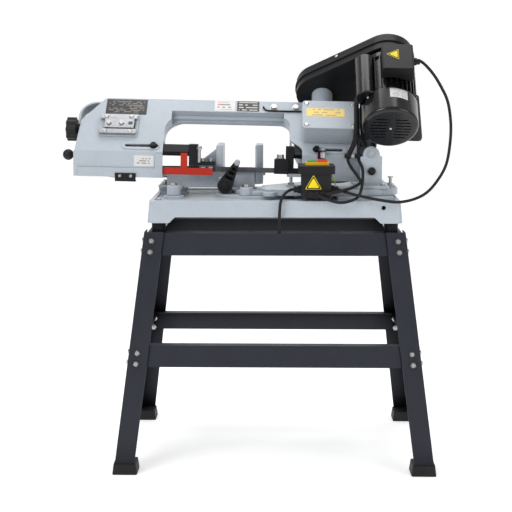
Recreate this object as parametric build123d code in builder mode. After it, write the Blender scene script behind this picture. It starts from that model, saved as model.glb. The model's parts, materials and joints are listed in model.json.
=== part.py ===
"""Swivel-head metal-cutting band saw on a splayed four-leg stand.

The saw stands on Z = 0 with the operator at -Y. X runs along the blade, from the idler wheel
on the left to the drive wheel on the right. Everything is drawn with X measured from the
stand's centre; a piece is seated in the saw's own frame as it is written. The arm is drawn
level, and seated at the small angle at which it rests on its stop bolt.
"""

import os
from math import hypot, sqrt

from build123d import *

os.makedirs("parts", exist_ok=True)

# Where the saw's own frame lies, and how it rests
centre_shift = 51.277  # from the stand's centre to the middle of the whole saw's box
arm_rest_angle = 1.3  # the arm rests this far above level, left end up

# Stand
stand_top = 570
leg_top = (307.5, 159)  # the outer corner of a leg's angle section at the top
leg_spread = (0.129, 0.136)  # outward run of that corner for each millimetre down
leg_flange, leg_wall = 46.7, 3
leg_foot_z = 6
rail_wall, rail_gap = 2, 0.1
top_rail = (515, 567)
low_rail = (253, 304)
rail_bolt_rows = (549, 523.5, 286, 260.5)
rail_bolt_inset = 20
foot_size, foot_flare, foot_height = 53, 3, 25

# Base
base_size = (604, 304)
base_foot, base_top = 590, 648
rim_top = 643
base_draft = 5.9
apron_foot = 604
tray_floor = 640
base_wall = 9
ear_bolt = (276, 127)
ear_post_radius = 16.5

# Vise
swivel_x = -48
bed = ((-290, -50), (8, 140))
bed_foot, bed_top = 658, 699
jaw_top = 763
jaw_front = 13.5
screw_y, screw_z = 72, 684
screw_radius = 7

# Swivel
plate_foot, plate_top = 648.3, 664
hub_top = 656
swivel_pin_radius = 12.5
pivot_x, pivot_z = 235, 705
pivot_radius = 8
running = 0.05  # radial clearance of a part that turns on another
seated = 0.02  # radial clearance of a part that is fixed in another

# Arm: x along the blade, u up the slanted wheels, n forward from them
blade_z = 696
wheel_radius = 89
idler_x, drive_x = -390, 150
wheel_u = 89
panel_n = 48
casting_wall = 5
casting_back_n = 14
front_y = -26.5
wall_back_y = -12
housing_foot = 674
arm_top_u = 187
guide_u = 29

# Gearbox, belt and motor
worm = (115, 58)  # x, n
worm_radius = 9
motor = (269, 164)
guard_radius = 65
guard_u = (205, 228, 255)
motor_radius = 60
fin_radius = 66.5
belt_u = 231

wheel_plane = Plane(origin=(0, 0, blade_z), x_dir=(1, 0, 0), z_dir=(0, -1, 1))
frame_seat = Location((centre_shift, 0, 0))
arm_seat = (
    frame_seat
    * Location((pivot_x, 0, pivot_z))
    * Location((0, 0, 0), (0, arm_rest_angle, 0))
    * Location((-pivot_x, 0, -pivot_z))
)


def across(u):
    """The plane square to the wheels' up direction at height u. Its own y runs backwards, along -n."""
    return Plane(origin=(0, u * sqrt(0.5), blade_z + u * sqrt(0.5)), x_dir=(1, 0, 0), z_dir=(0, 1, 1))


def front(y):
    """An upright plane at depth y, seen from the operator: its x is X and its y is Z."""
    return Plane(origin=(0, y, 0), x_dir=(1, 0, 0), z_dir=(0, -1, 0))


def end(x):
    """An upright plane across the blade at x: its x is Y and its y is Z."""
    return Plane(origin=(x, 0, 0), x_dir=(0, 1, 0), z_dir=(1, 0, 0))


def block(low, high, mode=Mode.ADD):
    """A rectangular block between two corners."""
    size = [b - a for a, b in zip(low, high)]
    with Locations(tuple((a + b) / 2 for a, b in zip(low, high))):
        Box(*size, mode=mode)


def bar(plane, corner, opposite, depth, mode=Mode.ADD):
    """A block drawn as a rectangle between two corners of a plane and raised by a depth."""
    with BuildSketch(plane) as face:
        with Locations(((corner[0] + opposite[0]) / 2, (corner[1] + opposite[1]) / 2)):
            Rectangle(abs(opposite[0] - corner[0]), abs(opposite[1] - corner[1]))
    extrude(face.sketch, amount=depth, mode=mode)


def disc(plane, places, radius, depth, mode=Mode.ADD):
    """Round bosses, shafts or holes at places on a plane."""
    with BuildSketch(plane) as face:
        with Locations(*places):
            Circle(radius)
    extrude(face.sketch, amount=depth, mode=mode)


def outline(plane, points, depth, mode=Mode.ADD):
    """A polygon drawn on a plane and raised by a depth."""
    with BuildSketch(plane) as face:
        with BuildLine():
            Polyline(*points, close=True)
        make_face()
    extrude(face.sketch, amount=depth, mode=mode)


def hex_screws(plane, places, size, grip, washer=0.0):
    """Hex-head screws seated on a plane, each with its washer, if any, and its shank below."""
    if washer:
        disc(plane, places, size * 1.15, washer)
    with BuildSketch(plane.offset(washer)) as face:
        with Locations(*places):
            RegularPolygon(size * 0.92, 6)
    extrude(face.sketch, amount=size * 0.62)
    disc(plane, places, size / 2, -grip)


def dome_screws(plane, places, radius, height, grip, shank):
    """Domed screws seated on a plane."""
    with BuildSketch(plane) as face:
        with Locations(*places):
            Circle(radius)
    extrude(face.sketch, amount=height, taper=32)
    disc(plane, places, shank, -grip)


def cable(points, radius):
    """A round cable along a smooth path through the points."""
    with BuildLine() as run:
        Spline(*points)
    path = run.line
    with BuildSketch(Plane(origin=path @ 0, z_dir=path % 0)) as face:
        Circle(radius)
    sweep(face.sketch, path=path)


def finish(piece, label, seat=frame_seat):
    """Seats a finished piece in the saw's frame, labels it and writes its STEP file."""
    piece.part = seat * piece.part
    piece.part.label = label
    export_step(piece.part, f"parts/{label}.step")


# --- Stand ---------------------------------------------------------------------------------


def leg_corner(z):
    """The outer corner of the rear right leg at height z."""
    return tuple(top + run * (stand_top - z) for top, run in zip(leg_top, leg_spread))


def angle_section(z, grow=0.0):
    """The face of the leg's angle section at height z."""
    x, y = (value + grow for value in leg_corner(z))
    width, wall = leg_flange + 2 * grow, leg_wall + 2 * grow
    with BuildSketch(Plane.XY.offset(z)) as section:
        with BuildLine():
            Polyline(
                (x, y), (x - width, y), (x - width, y - wall), (x - wall, y - wall),
                (x - wall, y - width), (x, y - width), close=True,
            )
        make_face()
    return section.sketch.face()


slope_x, slope_y = leg_spread
rear_face = Plane(origin=(0, leg_top[1], stand_top), x_dir=(1, 0, 0), z_dir=(0, 1, slope_y))
side_face = Plane(origin=(leg_top[0], 0, stand_top), x_dir=(0, 1, 0), z_dir=(1, 0, slope_x))
rear_bolts = [
    (leg_corner(z)[0] - rail_bolt_inset, (stand_top - z) * hypot(1, slope_y)) for z in rail_bolt_rows
]
side_bolts = [
    (leg_corner(z)[1] - rail_bolt_inset, -(stand_top - z) * hypot(1, slope_x)) for z in rail_bolt_rows
]
bolt_grip = leg_wall + rail_gap + rail_wall


def drill_stand():
    """The bolt holes of one leg, through the leg and the rails inside it."""
    disc(rear_face, rear_bolts, 4.3, -20, mode=Mode.SUBTRACT)
    disc(side_face, side_bolts, 4.3, -20, mode=Mode.SUBTRACT)


def to_four_corners():
    """Copies what is drawn at the rear right corner to the other three."""
    mirror(about=Plane.XZ)
    mirror(about=Plane.YZ)


with BuildPart() as stand_legs:
    loft([angle_section(leg_foot_z), angle_section(stand_top)], ruled=True)
    drill_stand()
    to_four_corners()
finish(stand_legs, "stand_legs")


def rail_web(plane, index, low, high, half_length):
    """A rail's web, parallel to the leg's face and just inside it. The other half is a mirror image."""
    inset = leg_wall + rail_gap
    outer = [(leg_corner(z)[index] - inset, z) for z in (low, high)]
    inner = [(value - rail_wall, z) for value, z in reversed(outer)]
    outline(plane, outer + inner, half_length)


def rail_pair(plane, index, span, half_length, flange, flange_z):
    """Half of a rail: its web and the flange turned inwards at one edge."""
    rail_web(plane, index, *span, half_length)
    inside = leg_corner(flange_z)[index] - leg_wall - rail_gap - rail_wall / 2
    bar(plane, (inside - flange, flange_z), (inside, flange_z + rail_wall), half_length)


with BuildPart() as top_rails:
    rail_pair(end(0), 1, top_rail, 300, 46, top_rail[1] - rail_wall)
    disc(Plane.XY.offset(top_rail[1]), [ear_bolt], 4.5, -10, mode=Mode.SUBTRACT)
    rail_pair(front(0), 0, (top_rail[0], top_rail[1] - 5), -148, 12, top_rail[1] - 5 - rail_wall)
    drill_stand()
    to_four_corners()
finish(top_rails, "top_rails")

with BuildPart() as lower_rails:
    rail_pair(end(0), 1, low_rail, 332, 24, low_rail[1] - rail_wall)
    rail_pair(front(0), 0, (low_rail[0], low_rail[1] - 5), -186, 24, low_rail[1] - 5 - rail_wall)
    drill_stand()
    to_four_corners()
finish(lower_rails, "lower_rails")

foot_centre = tuple(value + foot_flare - foot_size / 2 for value in leg_corner(foot_height))
with BuildPart() as rubber_feet:
    for z, grow in ((0, foot_flare), (foot_height, 0)):
        with BuildSketch(Plane.XY.offset(z)):
            with Locations(foot_centre):
                RectangleRounded(foot_size + 2 * grow, foot_size + 2 * grow, 5)
    loft()
    socket = [angle_section(z, grow=0.15) for z in (leg_foot_z, foot_height + 1)]
    loft(socket, ruled=True, mode=Mode.SUBTRACT)
    to_four_corners()
finish(rubber_feet, "rubber_feet")

with BuildPart() as stand_bolts:
    for face, places in ((rear_face, rear_bolts), (side_face, side_bolts)):
        dome_screws(face, places, 7.6, 4.5, bolt_grip + 9, 4)
        with BuildSketch(face.offset(-bolt_grip)):
            with Locations(*places):
                RegularPolygon(7.5, 6)
        extrude(amount=-6.5)
    to_four_corners()
finish(stand_bolts, "stand_bolts")

# --- Base ----------------------------------------------------------------------------------

ear_bolts = [(sx * ear_bolt[0], sy * ear_bolt[1]) for sx in (-1, 1) for sy in (-1, 1)]
bed_lug = (-244, -75)
bed_bolts = [(-279, 40), (-279, 98), bed_lug]

with BuildPart() as base_spacers:
    disc(Plane.XY.offset(top_rail[1]), ear_bolts, ear_post_radius, base_foot - top_rail[1])
    disc(Plane.XY.offset(top_rail[1]), ear_bolts, 4.5, base_foot - top_rail[1], mode=Mode.SUBTRACT)
finish(base_spacers, "base_spacers")

with BuildPart() as base_casting:
    with BuildSketch(Plane.XY.offset(base_foot)):
        RectangleRounded(*base_size, 16)
    extrude(amount=rim_top - base_foot, taper=base_draft)
    with BuildSketch(Plane.XY.offset(base_foot)):
        RectangleRounded(base_size[0] - 2 * base_wall, base_size[1] - 2 * base_wall, 10)
    extrude(amount=tray_floor - 7 - base_foot, taper=base_draft, mode=Mode.SUBTRACT)
    with BuildSketch(Plane.XY.offset(tray_floor)):
        RectangleRounded(base_size[0] - 32, base_size[1] - 32, 10)
    extrude(amount=20, mode=Mode.SUBTRACT)
    for plane, half, reach in ((front(0), 235, 200), (end(0), 90, 400)):
        notch = [(-half - 15, base_foot - 1), (-half - 15, base_foot), (-half, apron_foot)]
        notch += [(-x, z) for x, z in reversed(notch)]
        with BuildSketch(plane):
            with BuildLine():
                Polyline(*notch, close=True)
            make_face()
        extrude(amount=reach, both=True, mode=Mode.SUBTRACT)
    disc(Plane.XY.offset(base_foot), ear_bolts, 18, tray_floor - base_foot)
    disc(Plane.XY.offset(tray_floor - 8), [(swivel_x, 0)], 96, base_top - tray_floor + 8)
    block((-288, 22, tray_floor - 7), (-222, 112, base_top))
    disc(Plane.XY.offset(tray_floor - 8), [bed_lug], 24, base_top - tray_floor + 8)
    block((150, -108, tray_floor - 7), (284, 108, base_top))
    disc(Plane.XY.offset(base_foot), ear_bolts, 4.5, 80, mode=Mode.SUBTRACT)
    disc(Plane.XY.offset(base_top), bed_bolts, 5.2, -30, mode=Mode.SUBTRACT)
    disc(Plane.XY.offset(base_top), [(swivel_x, 0)], swivel_pin_radius + seated, -40, mode=Mode.SUBTRACT)
    disc(front(-160), [(256, 627)], 5, -30, mode=Mode.SUBTRACT)
    rim = base_casting.edges().filter_by(lambda edge: edge.length > 500)
    fillet(rim.filter_by(Axis.X).group_by(Axis.Z)[-1], 1.5)
finish(base_casting, "base_casting")

with BuildPart() as base_bolts:
    hex_screws(Plane.XY.offset(tray_floor), ear_bolts, 8, tray_floor - top_rail[1] + 12)
    with BuildSketch(Plane.XY.offset(top_rail[1] - rail_wall)):
        with Locations(*ear_bolts):
            RegularPolygon(7.5, 6)
    extrude(amount=-6.5)
finish(base_bolts, "base_bolts")

with BuildPart() as swivel_pin:
    disc(Plane.XY.offset(620), [(swivel_x, 0)], swivel_pin_radius, hub_top + 0.3 - 620)
    disc(Plane.XY.offset(hub_top + 0.2), [(swivel_x, 0)], 19, 1.3)
    with BuildSketch(Plane.XY.offset(tray_floor - 8.1)):
        with Locations((swivel_x, 0)):
            RegularPolygon(21, 6)
    extrude(amount=-10)
finish(swivel_pin, "swivel_pin")

# --- Vise ----------------------------------------------------------------------------------

(bed_left, bed_right), (bed_front, bed_back) = bed
fixed_jaw_x = (-48.7, -29.6)
movable_jaw_x = (-145.5, -128.4)
jaw_back = 92
jaw_bolt = (110, 686)

with BuildPart() as vise_bed:
    block((bed_left, bed_front, bed_foot), (bed_right, bed_back, bed_top))
    block((bed_left, 22, base_top), (-224, 112, bed_foot))
    block((bed_lug[0] - 16, bed_lug[1], bed_foot), (bed_lug[0] + 16, bed_front, bed_foot + 6))
    disc(Plane.XY.offset(base_top), [bed_lug], 16, 672 - base_top)
    block((bed_left, bed_front, 664), (-268, bed_back, bed_top), mode=Mode.SUBTRACT)
    block((-262, bed_front + 14, bed_foot - 1), (-64, 52, bed_top - 8), mode=Mode.SUBTRACT)
    block((-262, 92, bed_foot - 1), (-64, bed_back - 10, bed_top - 8), mode=Mode.SUBTRACT)
    block((-255, screw_y - 13, bed_foot + 12), (-66, screw_y + 13, bed_top), mode=Mode.SUBTRACT)
    disc(end(bed_left - 1), [(screw_y, screw_z)], screw_radius + running, 242, mode=Mode.SUBTRACT)
    disc(Plane.XY.offset(bed_top), bed_bolts, 5.2, -60, mode=Mode.SUBTRACT)
    disc(end(bed_right), [jaw_bolt], 4.2, -14, mode=Mode.SUBTRACT)
    fillet(vise_bed.edges().filter_by(Axis.X).group_by(Axis.Z)[-1].sort_by(Axis.Y)[0], 2)
finish(vise_bed, "vise_bed")

with BuildPart() as fixed_jaw:
    left, right = fixed_jaw_x
    bevel = right - left - 4
    points = [(left, jaw_front), (right - bevel, jaw_front), (right, jaw_front + bevel)]
    points += [(right, jaw_back), (left, jaw_back)]
    outline(Plane.XY.offset(666), points, jaw_top - 666)
    block((left, jaw_back - 1, 672), (right, 122, 697))
    disc(end(right), [jaw_bolt], 4.2, -30, mode=Mode.SUBTRACT)
    fillet(fixed_jaw.edges().filter_by(Axis.Y).group_by(Axis.Z)[-1], 3)
finish(fixed_jaw, "fixed_jaw")

with BuildPart() as vise_bolts:
    for (x, y), z in zip(bed_bolts, (664, 664, 672)):
        hex_screws(Plane.XY.offset(z), [(x, y)], 8, z - base_top + 12, washer=1)
    disc(end(fixed_jaw_x[1]), [jaw_bolt], 6.5, 5)
    disc(end(fixed_jaw_x[1]), [jaw_bolt], 4, -18.9)
finish(vise_bolts, "vise_bolts")

with BuildPart() as movable_jaw:
    left, right = movable_jaw_x
    block((left, jaw_front, bed_top + 0.2), (right, 118, jaw_top))
    block((left - 55, 24, bed_top + 0.2), (left + 1, 116, bed_top + 16))
    for y in (36, 104):
        outline(end(left), [(y, bed_top + 1), (y + 8, bed_top + 1), (y + 8, 752), (y, 752)], -1)
        gusset = [(left, bed_top + 14), (left, 752), (left - 50, bed_top + 14)]
        with BuildSketch(front(y + 4)):
            with BuildLine():
                Polyline(*gusset, close=True)
            make_face()
        extrude(amount=4, both=True)
    block((left - 50, screw_y - 12.8, bed_foot + 13), (left - 6, screw_y + 12.8, bed_top + 1))
    disc(end(left - 60), [(screw_y, screw_z)], screw_radius + running, 90, mode=Mode.SUBTRACT)
    fillet(movable_jaw.edges().filter_by(Axis.Y).group_by(Axis.Z)[-1], 3)
finish(movable_jaw, "movable_jaw")

with BuildPart() as vise_screw:
    disc(end(bed_left - 12), [(screw_y, screw_z)], screw_radius, 234)
    bar(end(bed_left - 30), (screw_y - 5, screw_z - 5), (screw_y + 5, screw_z + 5), 20)
    disc(end(-274), [(screw_y, screw_z)], 11, 5.8)
finish(vise_screw, "vise_screw")

# --- Swivel head ---------------------------------------------------------------------------

plate_end = 300
stop_bolt = (40, -8)
end_bolt = (284, -18)
bracket_bolts = [(211, -70), (262, -70), (211, 122), (262, 122)]
bracket_foot = ((195, 275), (-80, 132))
lever_hub, lever_tip = (-122, 668), (-92, 724)

with BuildPart() as swivel_plate:
    disc(Plane.XY.offset(plate_foot), [(swivel_x, 0)], 60, hub_top - plate_foot)
    edge = [(-20, -90), (220, -90), (plate_end, -60), (plate_end, 90), (240, 134), (96, 134)]
    edge += [(-18, 24), (-44, -2), (-44, -40)]
    with BuildSketch(Plane.XY.offset(plate_foot)):
        with BuildLine():
            Polyline(*edge, close=True)
        make_face()
        fillet(vertices().sort_by(Axis.X)[-2:], 40)
    extrude(amount=plate_top - plate_foot)
    block((-140, -19, plate_foot + 1), (-44, 6, 660))
    block((-138, -20, 650), (-106, 6, 686))
    with BuildSketch(Plane.XY.offset(plate_foot)):
        with Locations((-69, -75), (-13, -92)):
            Circle(16)
        with Locations((-40, -62)):
            Rectangle(70, 44)
    extrude(amount=658 - plate_foot)
    disc(Plane.XY.offset(656), [(-69, -75)], 16, 12)
    disc(Plane.XY.offset(plate_top), [end_bolt, stop_bolt], 13, 3)
    disc(Plane.XY.offset(700), [(swivel_x, 0)], swivel_pin_radius + running, -60, mode=Mode.SUBTRACT)
    block((-90, -20, hub_top), (swivel_x + 2, 60, 700), mode=Mode.SUBTRACT)
    disc(Plane.XY.offset(hub_top), [(swivel_x, 0)], 20, 30, mode=Mode.SUBTRACT)
    with BuildSketch(Plane.XY.offset(plate_foot)):
        with Locations((swivel_x, 0)):
            SlotArc(CenterArc((0, 0), 322, -6, 16), 9)
    extrude(amount=40, mode=Mode.SUBTRACT)
    disc(Plane.XY.offset(700), [stop_bolt, end_bolt], 4.2, -60, mode=Mode.SUBTRACT)
    disc(Plane.XY.offset(700), bracket_bolts, 4.2, -60, mode=Mode.SUBTRACT)
    disc(Plane.XY.offset(700), [(-69, -75)], 5.2, -60, mode=Mode.SUBTRACT)
    disc(front(-21), [(-122, 668)], 6.3, -30, mode=Mode.SUBTRACT)
finish(swivel_plate, "swivel_plate")

front_ear, rear_ear = (-50, -31), (88, 106)
with BuildPart() as pivot_bracket:
    (foot_left, foot_right), (foot_front, foot_back) = bracket_foot
    block((foot_left, foot_front, plate_top + 0.1), (foot_right, foot_back, 672))
    with BuildSketch(front(front_ear[0])):
        with BuildLine():
            Polyline((207, 670), (207, 740), (214, 740))
            ThreePointArc((214, 740), (234, 764), (254, 740))
            Polyline((254, 740), (260, 740), (260, 670), (207, 670))
        make_face()
    extrude(amount=front_ear[0] - front_ear[1])
    with BuildSketch(front(rear_ear[0])):
        with BuildLine():
            Polyline((214, 670), (217, pivot_z))
            ThreePointArc((217, pivot_z), (pivot_x, pivot_z + 18), (253, pivot_z))
            Polyline((253, pivot_z), (256, 670), (214, 670))
        make_face()
    extrude(amount=rear_ear[0] - rear_ear[1])
    disc(front(front_ear[0]), [(234, 750)], 12, 3)
    disc(front(-100), [(pivot_x, pivot_z)], pivot_radius + seated, -300, mode=Mode.SUBTRACT)
    disc(Plane.XY.offset(700), bracket_bolts, 4.2, -60, mode=Mode.SUBTRACT)
    disc(front(front_ear[0] - 5), [(234, 750)], 4.2, -20, mode=Mode.SUBTRACT)
finish(pivot_bracket, "pivot_bracket")

with BuildPart() as swivel_bolts:
    hex_screws(Plane.XY.offset(672), bracket_bolts, 8, 672 - plate_foot)
    disc(front(front_ear[0] - 3), [(234, 750)], 6.5, 5)
    disc(front(front_ear[0] - 3), [(234, 750)], 4, -12)
    for (x, y), top in ((stop_bolt, 687.7), (end_bolt, 687)):
        disc(Plane.XY.offset(plate_foot), [(x, y)], 4, top - plate_foot)
        with BuildSketch(Plane.XY.offset(plate_top + 3)):
            with Locations((x, y)):
                RegularPolygon(7.5, 6)
        extrude(amount=6)
    disc(Plane.XY.offset(687), [end_bolt], 7, 3)
    hex_screws(Plane.XY.offset(668), [(-69, -75)], 10, 668 - plate_foot, washer=1)
    disc(front(-43), [lever_hub], 6, -47)
finish(swivel_bolts, "swivel_bolts")

with BuildPart() as pivot_shaft:
    disc(front(-53), [(pivot_x, pivot_z)], pivot_radius, -162)
    chamfer(pivot_shaft.edges().filter_by(GeomType.CIRCLE), 1)
finish(pivot_shaft, "pivot_shaft")

with BuildPart() as lock_lever:
    with BuildSketch(front(-24)):
        with Locations(lever_hub):
            Circle(18.3)
        with Locations(lever_tip):
            Circle(6.5)
        make_hull()
    extrude(amount=24)
    with BuildSketch(front(-31)):
        for share in (0.36, 0.56, 0.74):
            x, z = (a + share * (b - a) for a, b in zip(lever_hub, lever_tip))
            width = 2 * (18.3 + share * (6.5 - 18.3)) - 9
            with Locations(Location((x, z), -28)):
                Rectangle(width, 7.5)
    extrude(amount=30, mode=Mode.SUBTRACT)
    disc(front(-48), [lever_hub], 8, 5)
    disc(front(-20.2), [lever_hub], 9, 5)
    disc(front(-20), [lever_hub], 6.05, 23.5, mode=Mode.SUBTRACT)
finish(lock_lever, "lock_lever")

# --- Switch --------------------------------------------------------------------------------

box_x, box_y, box_z = (62, 133), (-155, -80), (650, 707)
lid_x, lid_y, lid_top = (55, 141), (-160, -76), 726
button_y = -118
start_x, stop_x = 87, 112
frame_top = 733

with BuildPart() as switch_box:
    with BuildSketch(Plane.XY.offset(box_z[0])):
        with Locations((sum(box_x) / 2, (box_y[0] - 90.2) / 2)):
            RectangleRounded(box_x[1] - box_x[0], -90.2 - box_y[0], 6)
    extrude(amount=box_z[1] - box_z[0] - 8)
    with BuildSketch(Plane.XY.offset(box_z[1] - 8)):
        with Locations((sum(box_x) / 2, sum(box_y) / 2)):
            RectangleRounded(box_x[1] - box_x[0], box_y[1] - box_y[0], 6)
    extrude(amount=8)
    with BuildSketch(Plane.XY.offset(box_z[0] + 3)):
        with Locations((sum(box_x) / 2, (box_y[0] - 90.2) / 2)):
            RectangleRounded(box_x[1] - box_x[0] - 6, -96.2 - box_y[0], 4)
    extrude(amount=80, mode=Mode.SUBTRACT)
    disc(end(box_x[0] - 5), [(-122, 668)], 6.1, 10, mode=Mode.SUBTRACT)
    disc(end(box_x[1] - 5), [(-122, 668)], 6.1, 10, mode=Mode.SUBTRACT)
    disc(front(box_y[0] - 5), [(84, 661), (98, 661), (112, 661)], 5.1, -10, mode=Mode.SUBTRACT)
finish(switch_box, "switch_box")

with BuildPart() as switch_lid:
    with BuildSketch(Plane.XY.offset(box_z[1])):
        with Locations((sum(lid_x) / 2, sum(lid_y) / 2)):
            RectangleRounded(lid_x[1] - lid_x[0], lid_y[1] - lid_y[0], 7)
    extrude(amount=lid_top - box_z[1])
    block((start_x - 12, button_y - 16, box_z[1] + 3), (stop_x + 12.5, button_y + 16, lid_top), mode=Mode.SUBTRACT)
    fillet(switch_lid.faces().sort_by(Axis.Z)[-1].outer_wire().edges(), 2)
finish(switch_lid, "switch_lid")

with BuildPart() as switch_frame:
    block((start_x - 11.9, button_y - 15.9, lid_top - 10), (stop_x + 12.4, button_y + 15.9, lid_top))
    block((start_x - 15, button_y - 19, lid_top), (stop_x + 15.5, button_y + 19, frame_top))
    for x, half in ((start_x, 9.8), (stop_x, 11.3)):
        block((x - half, button_y - 12.3, lid_top - 6), (x + half, button_y + 12.3, frame_top), mode=Mode.SUBTRACT)
    fillet(switch_frame.edges().filter_by(Axis.Z).group_by(SortBy.LENGTH)[-1], 1)
finish(switch_frame, "switch_frame")

for label, x, half, top in (("start_button", start_x, 9.5, frame_top + 4), ("stop_button", stop_x, 11, frame_top + 6)):
    with BuildPart() as button:
        block((x - half, button_y - 12, lid_top), (x + half, button_y + 12, top))
        fillet(button.faces().sort_by(Axis.Z)[-1].edges(), 2)
    finish(button, label)

with BuildPart() as cable_glands:
    for x, way in ((box_x[0], -1), (box_x[1], 1)):
        disc(end(x), [(-122, 668)], 9.5, way * 8)
        disc(end(x + way * 8), [(-122, 668)], 7.5, way * 9)
        disc(end(x), [(-122, 668)], 6, -way * 2.9)
        disc(end(x - way * 3), [(-122, 668)], 3.6, way * 40, mode=Mode.SUBTRACT)
    disc(front(box_y[0]), [(84, 661), (98, 661), (112, 661)], 6.5, 7)
    disc(front(box_y[0]), [(84, 661), (98, 661), (112, 661)], 5, -2.9)
finish(cable_glands, "cable_glands")

# --- Arm casting ---------------------------------------------------------------------------

throat = ((-276, 35), (-40, 135))
left_end, right_end = -495, 205
drive_left = 66  # the left side of the drive housing below the throat
tension_axis = (38.9, 784.4)
barrel_y = (-27, 84)
gearbox = ((66, 195), (50, 136), 103)
panel_plane = wheel_plane.offset(panel_n)
back_plane = wheel_plane.offset(casting_back_n)
(throat_left, throat_right), (_, throat_top) = throat
(box_left, box_right), (box_low, box_high), box_face = gearbox
plate_n = 91  # the underside of the motor's plate
cover_screw_places = [(x, u) for x in (box_left + 8, box_right - 8) for u in (box_low + 8, box_high - 8)]
gib_places = [(x, u) for x in (-422, -360) for u in (67, 115)]
bracket_screws = [(-380, 677), (-353, 677)]
beam_bolts = [(-6, 166), (49, 166)]
plate_bolts = [(216, 78), (216, 116)]
foot_bolts = [(237, 96), (301, 96), (237, 152), (301, 152)]
arm_outline = [
    (left_end, -40), (left_end + 8, 110), (-432, arm_top_u), (right_end - 30, arm_top_u),
    (right_end, arm_top_u - 30), (right_end, -40), (drive_left, -40), (drive_left, 33),
    (throat_right, 58), (throat_right, throat_top), (throat_left, throat_top), (throat_left, -40),
]

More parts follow.
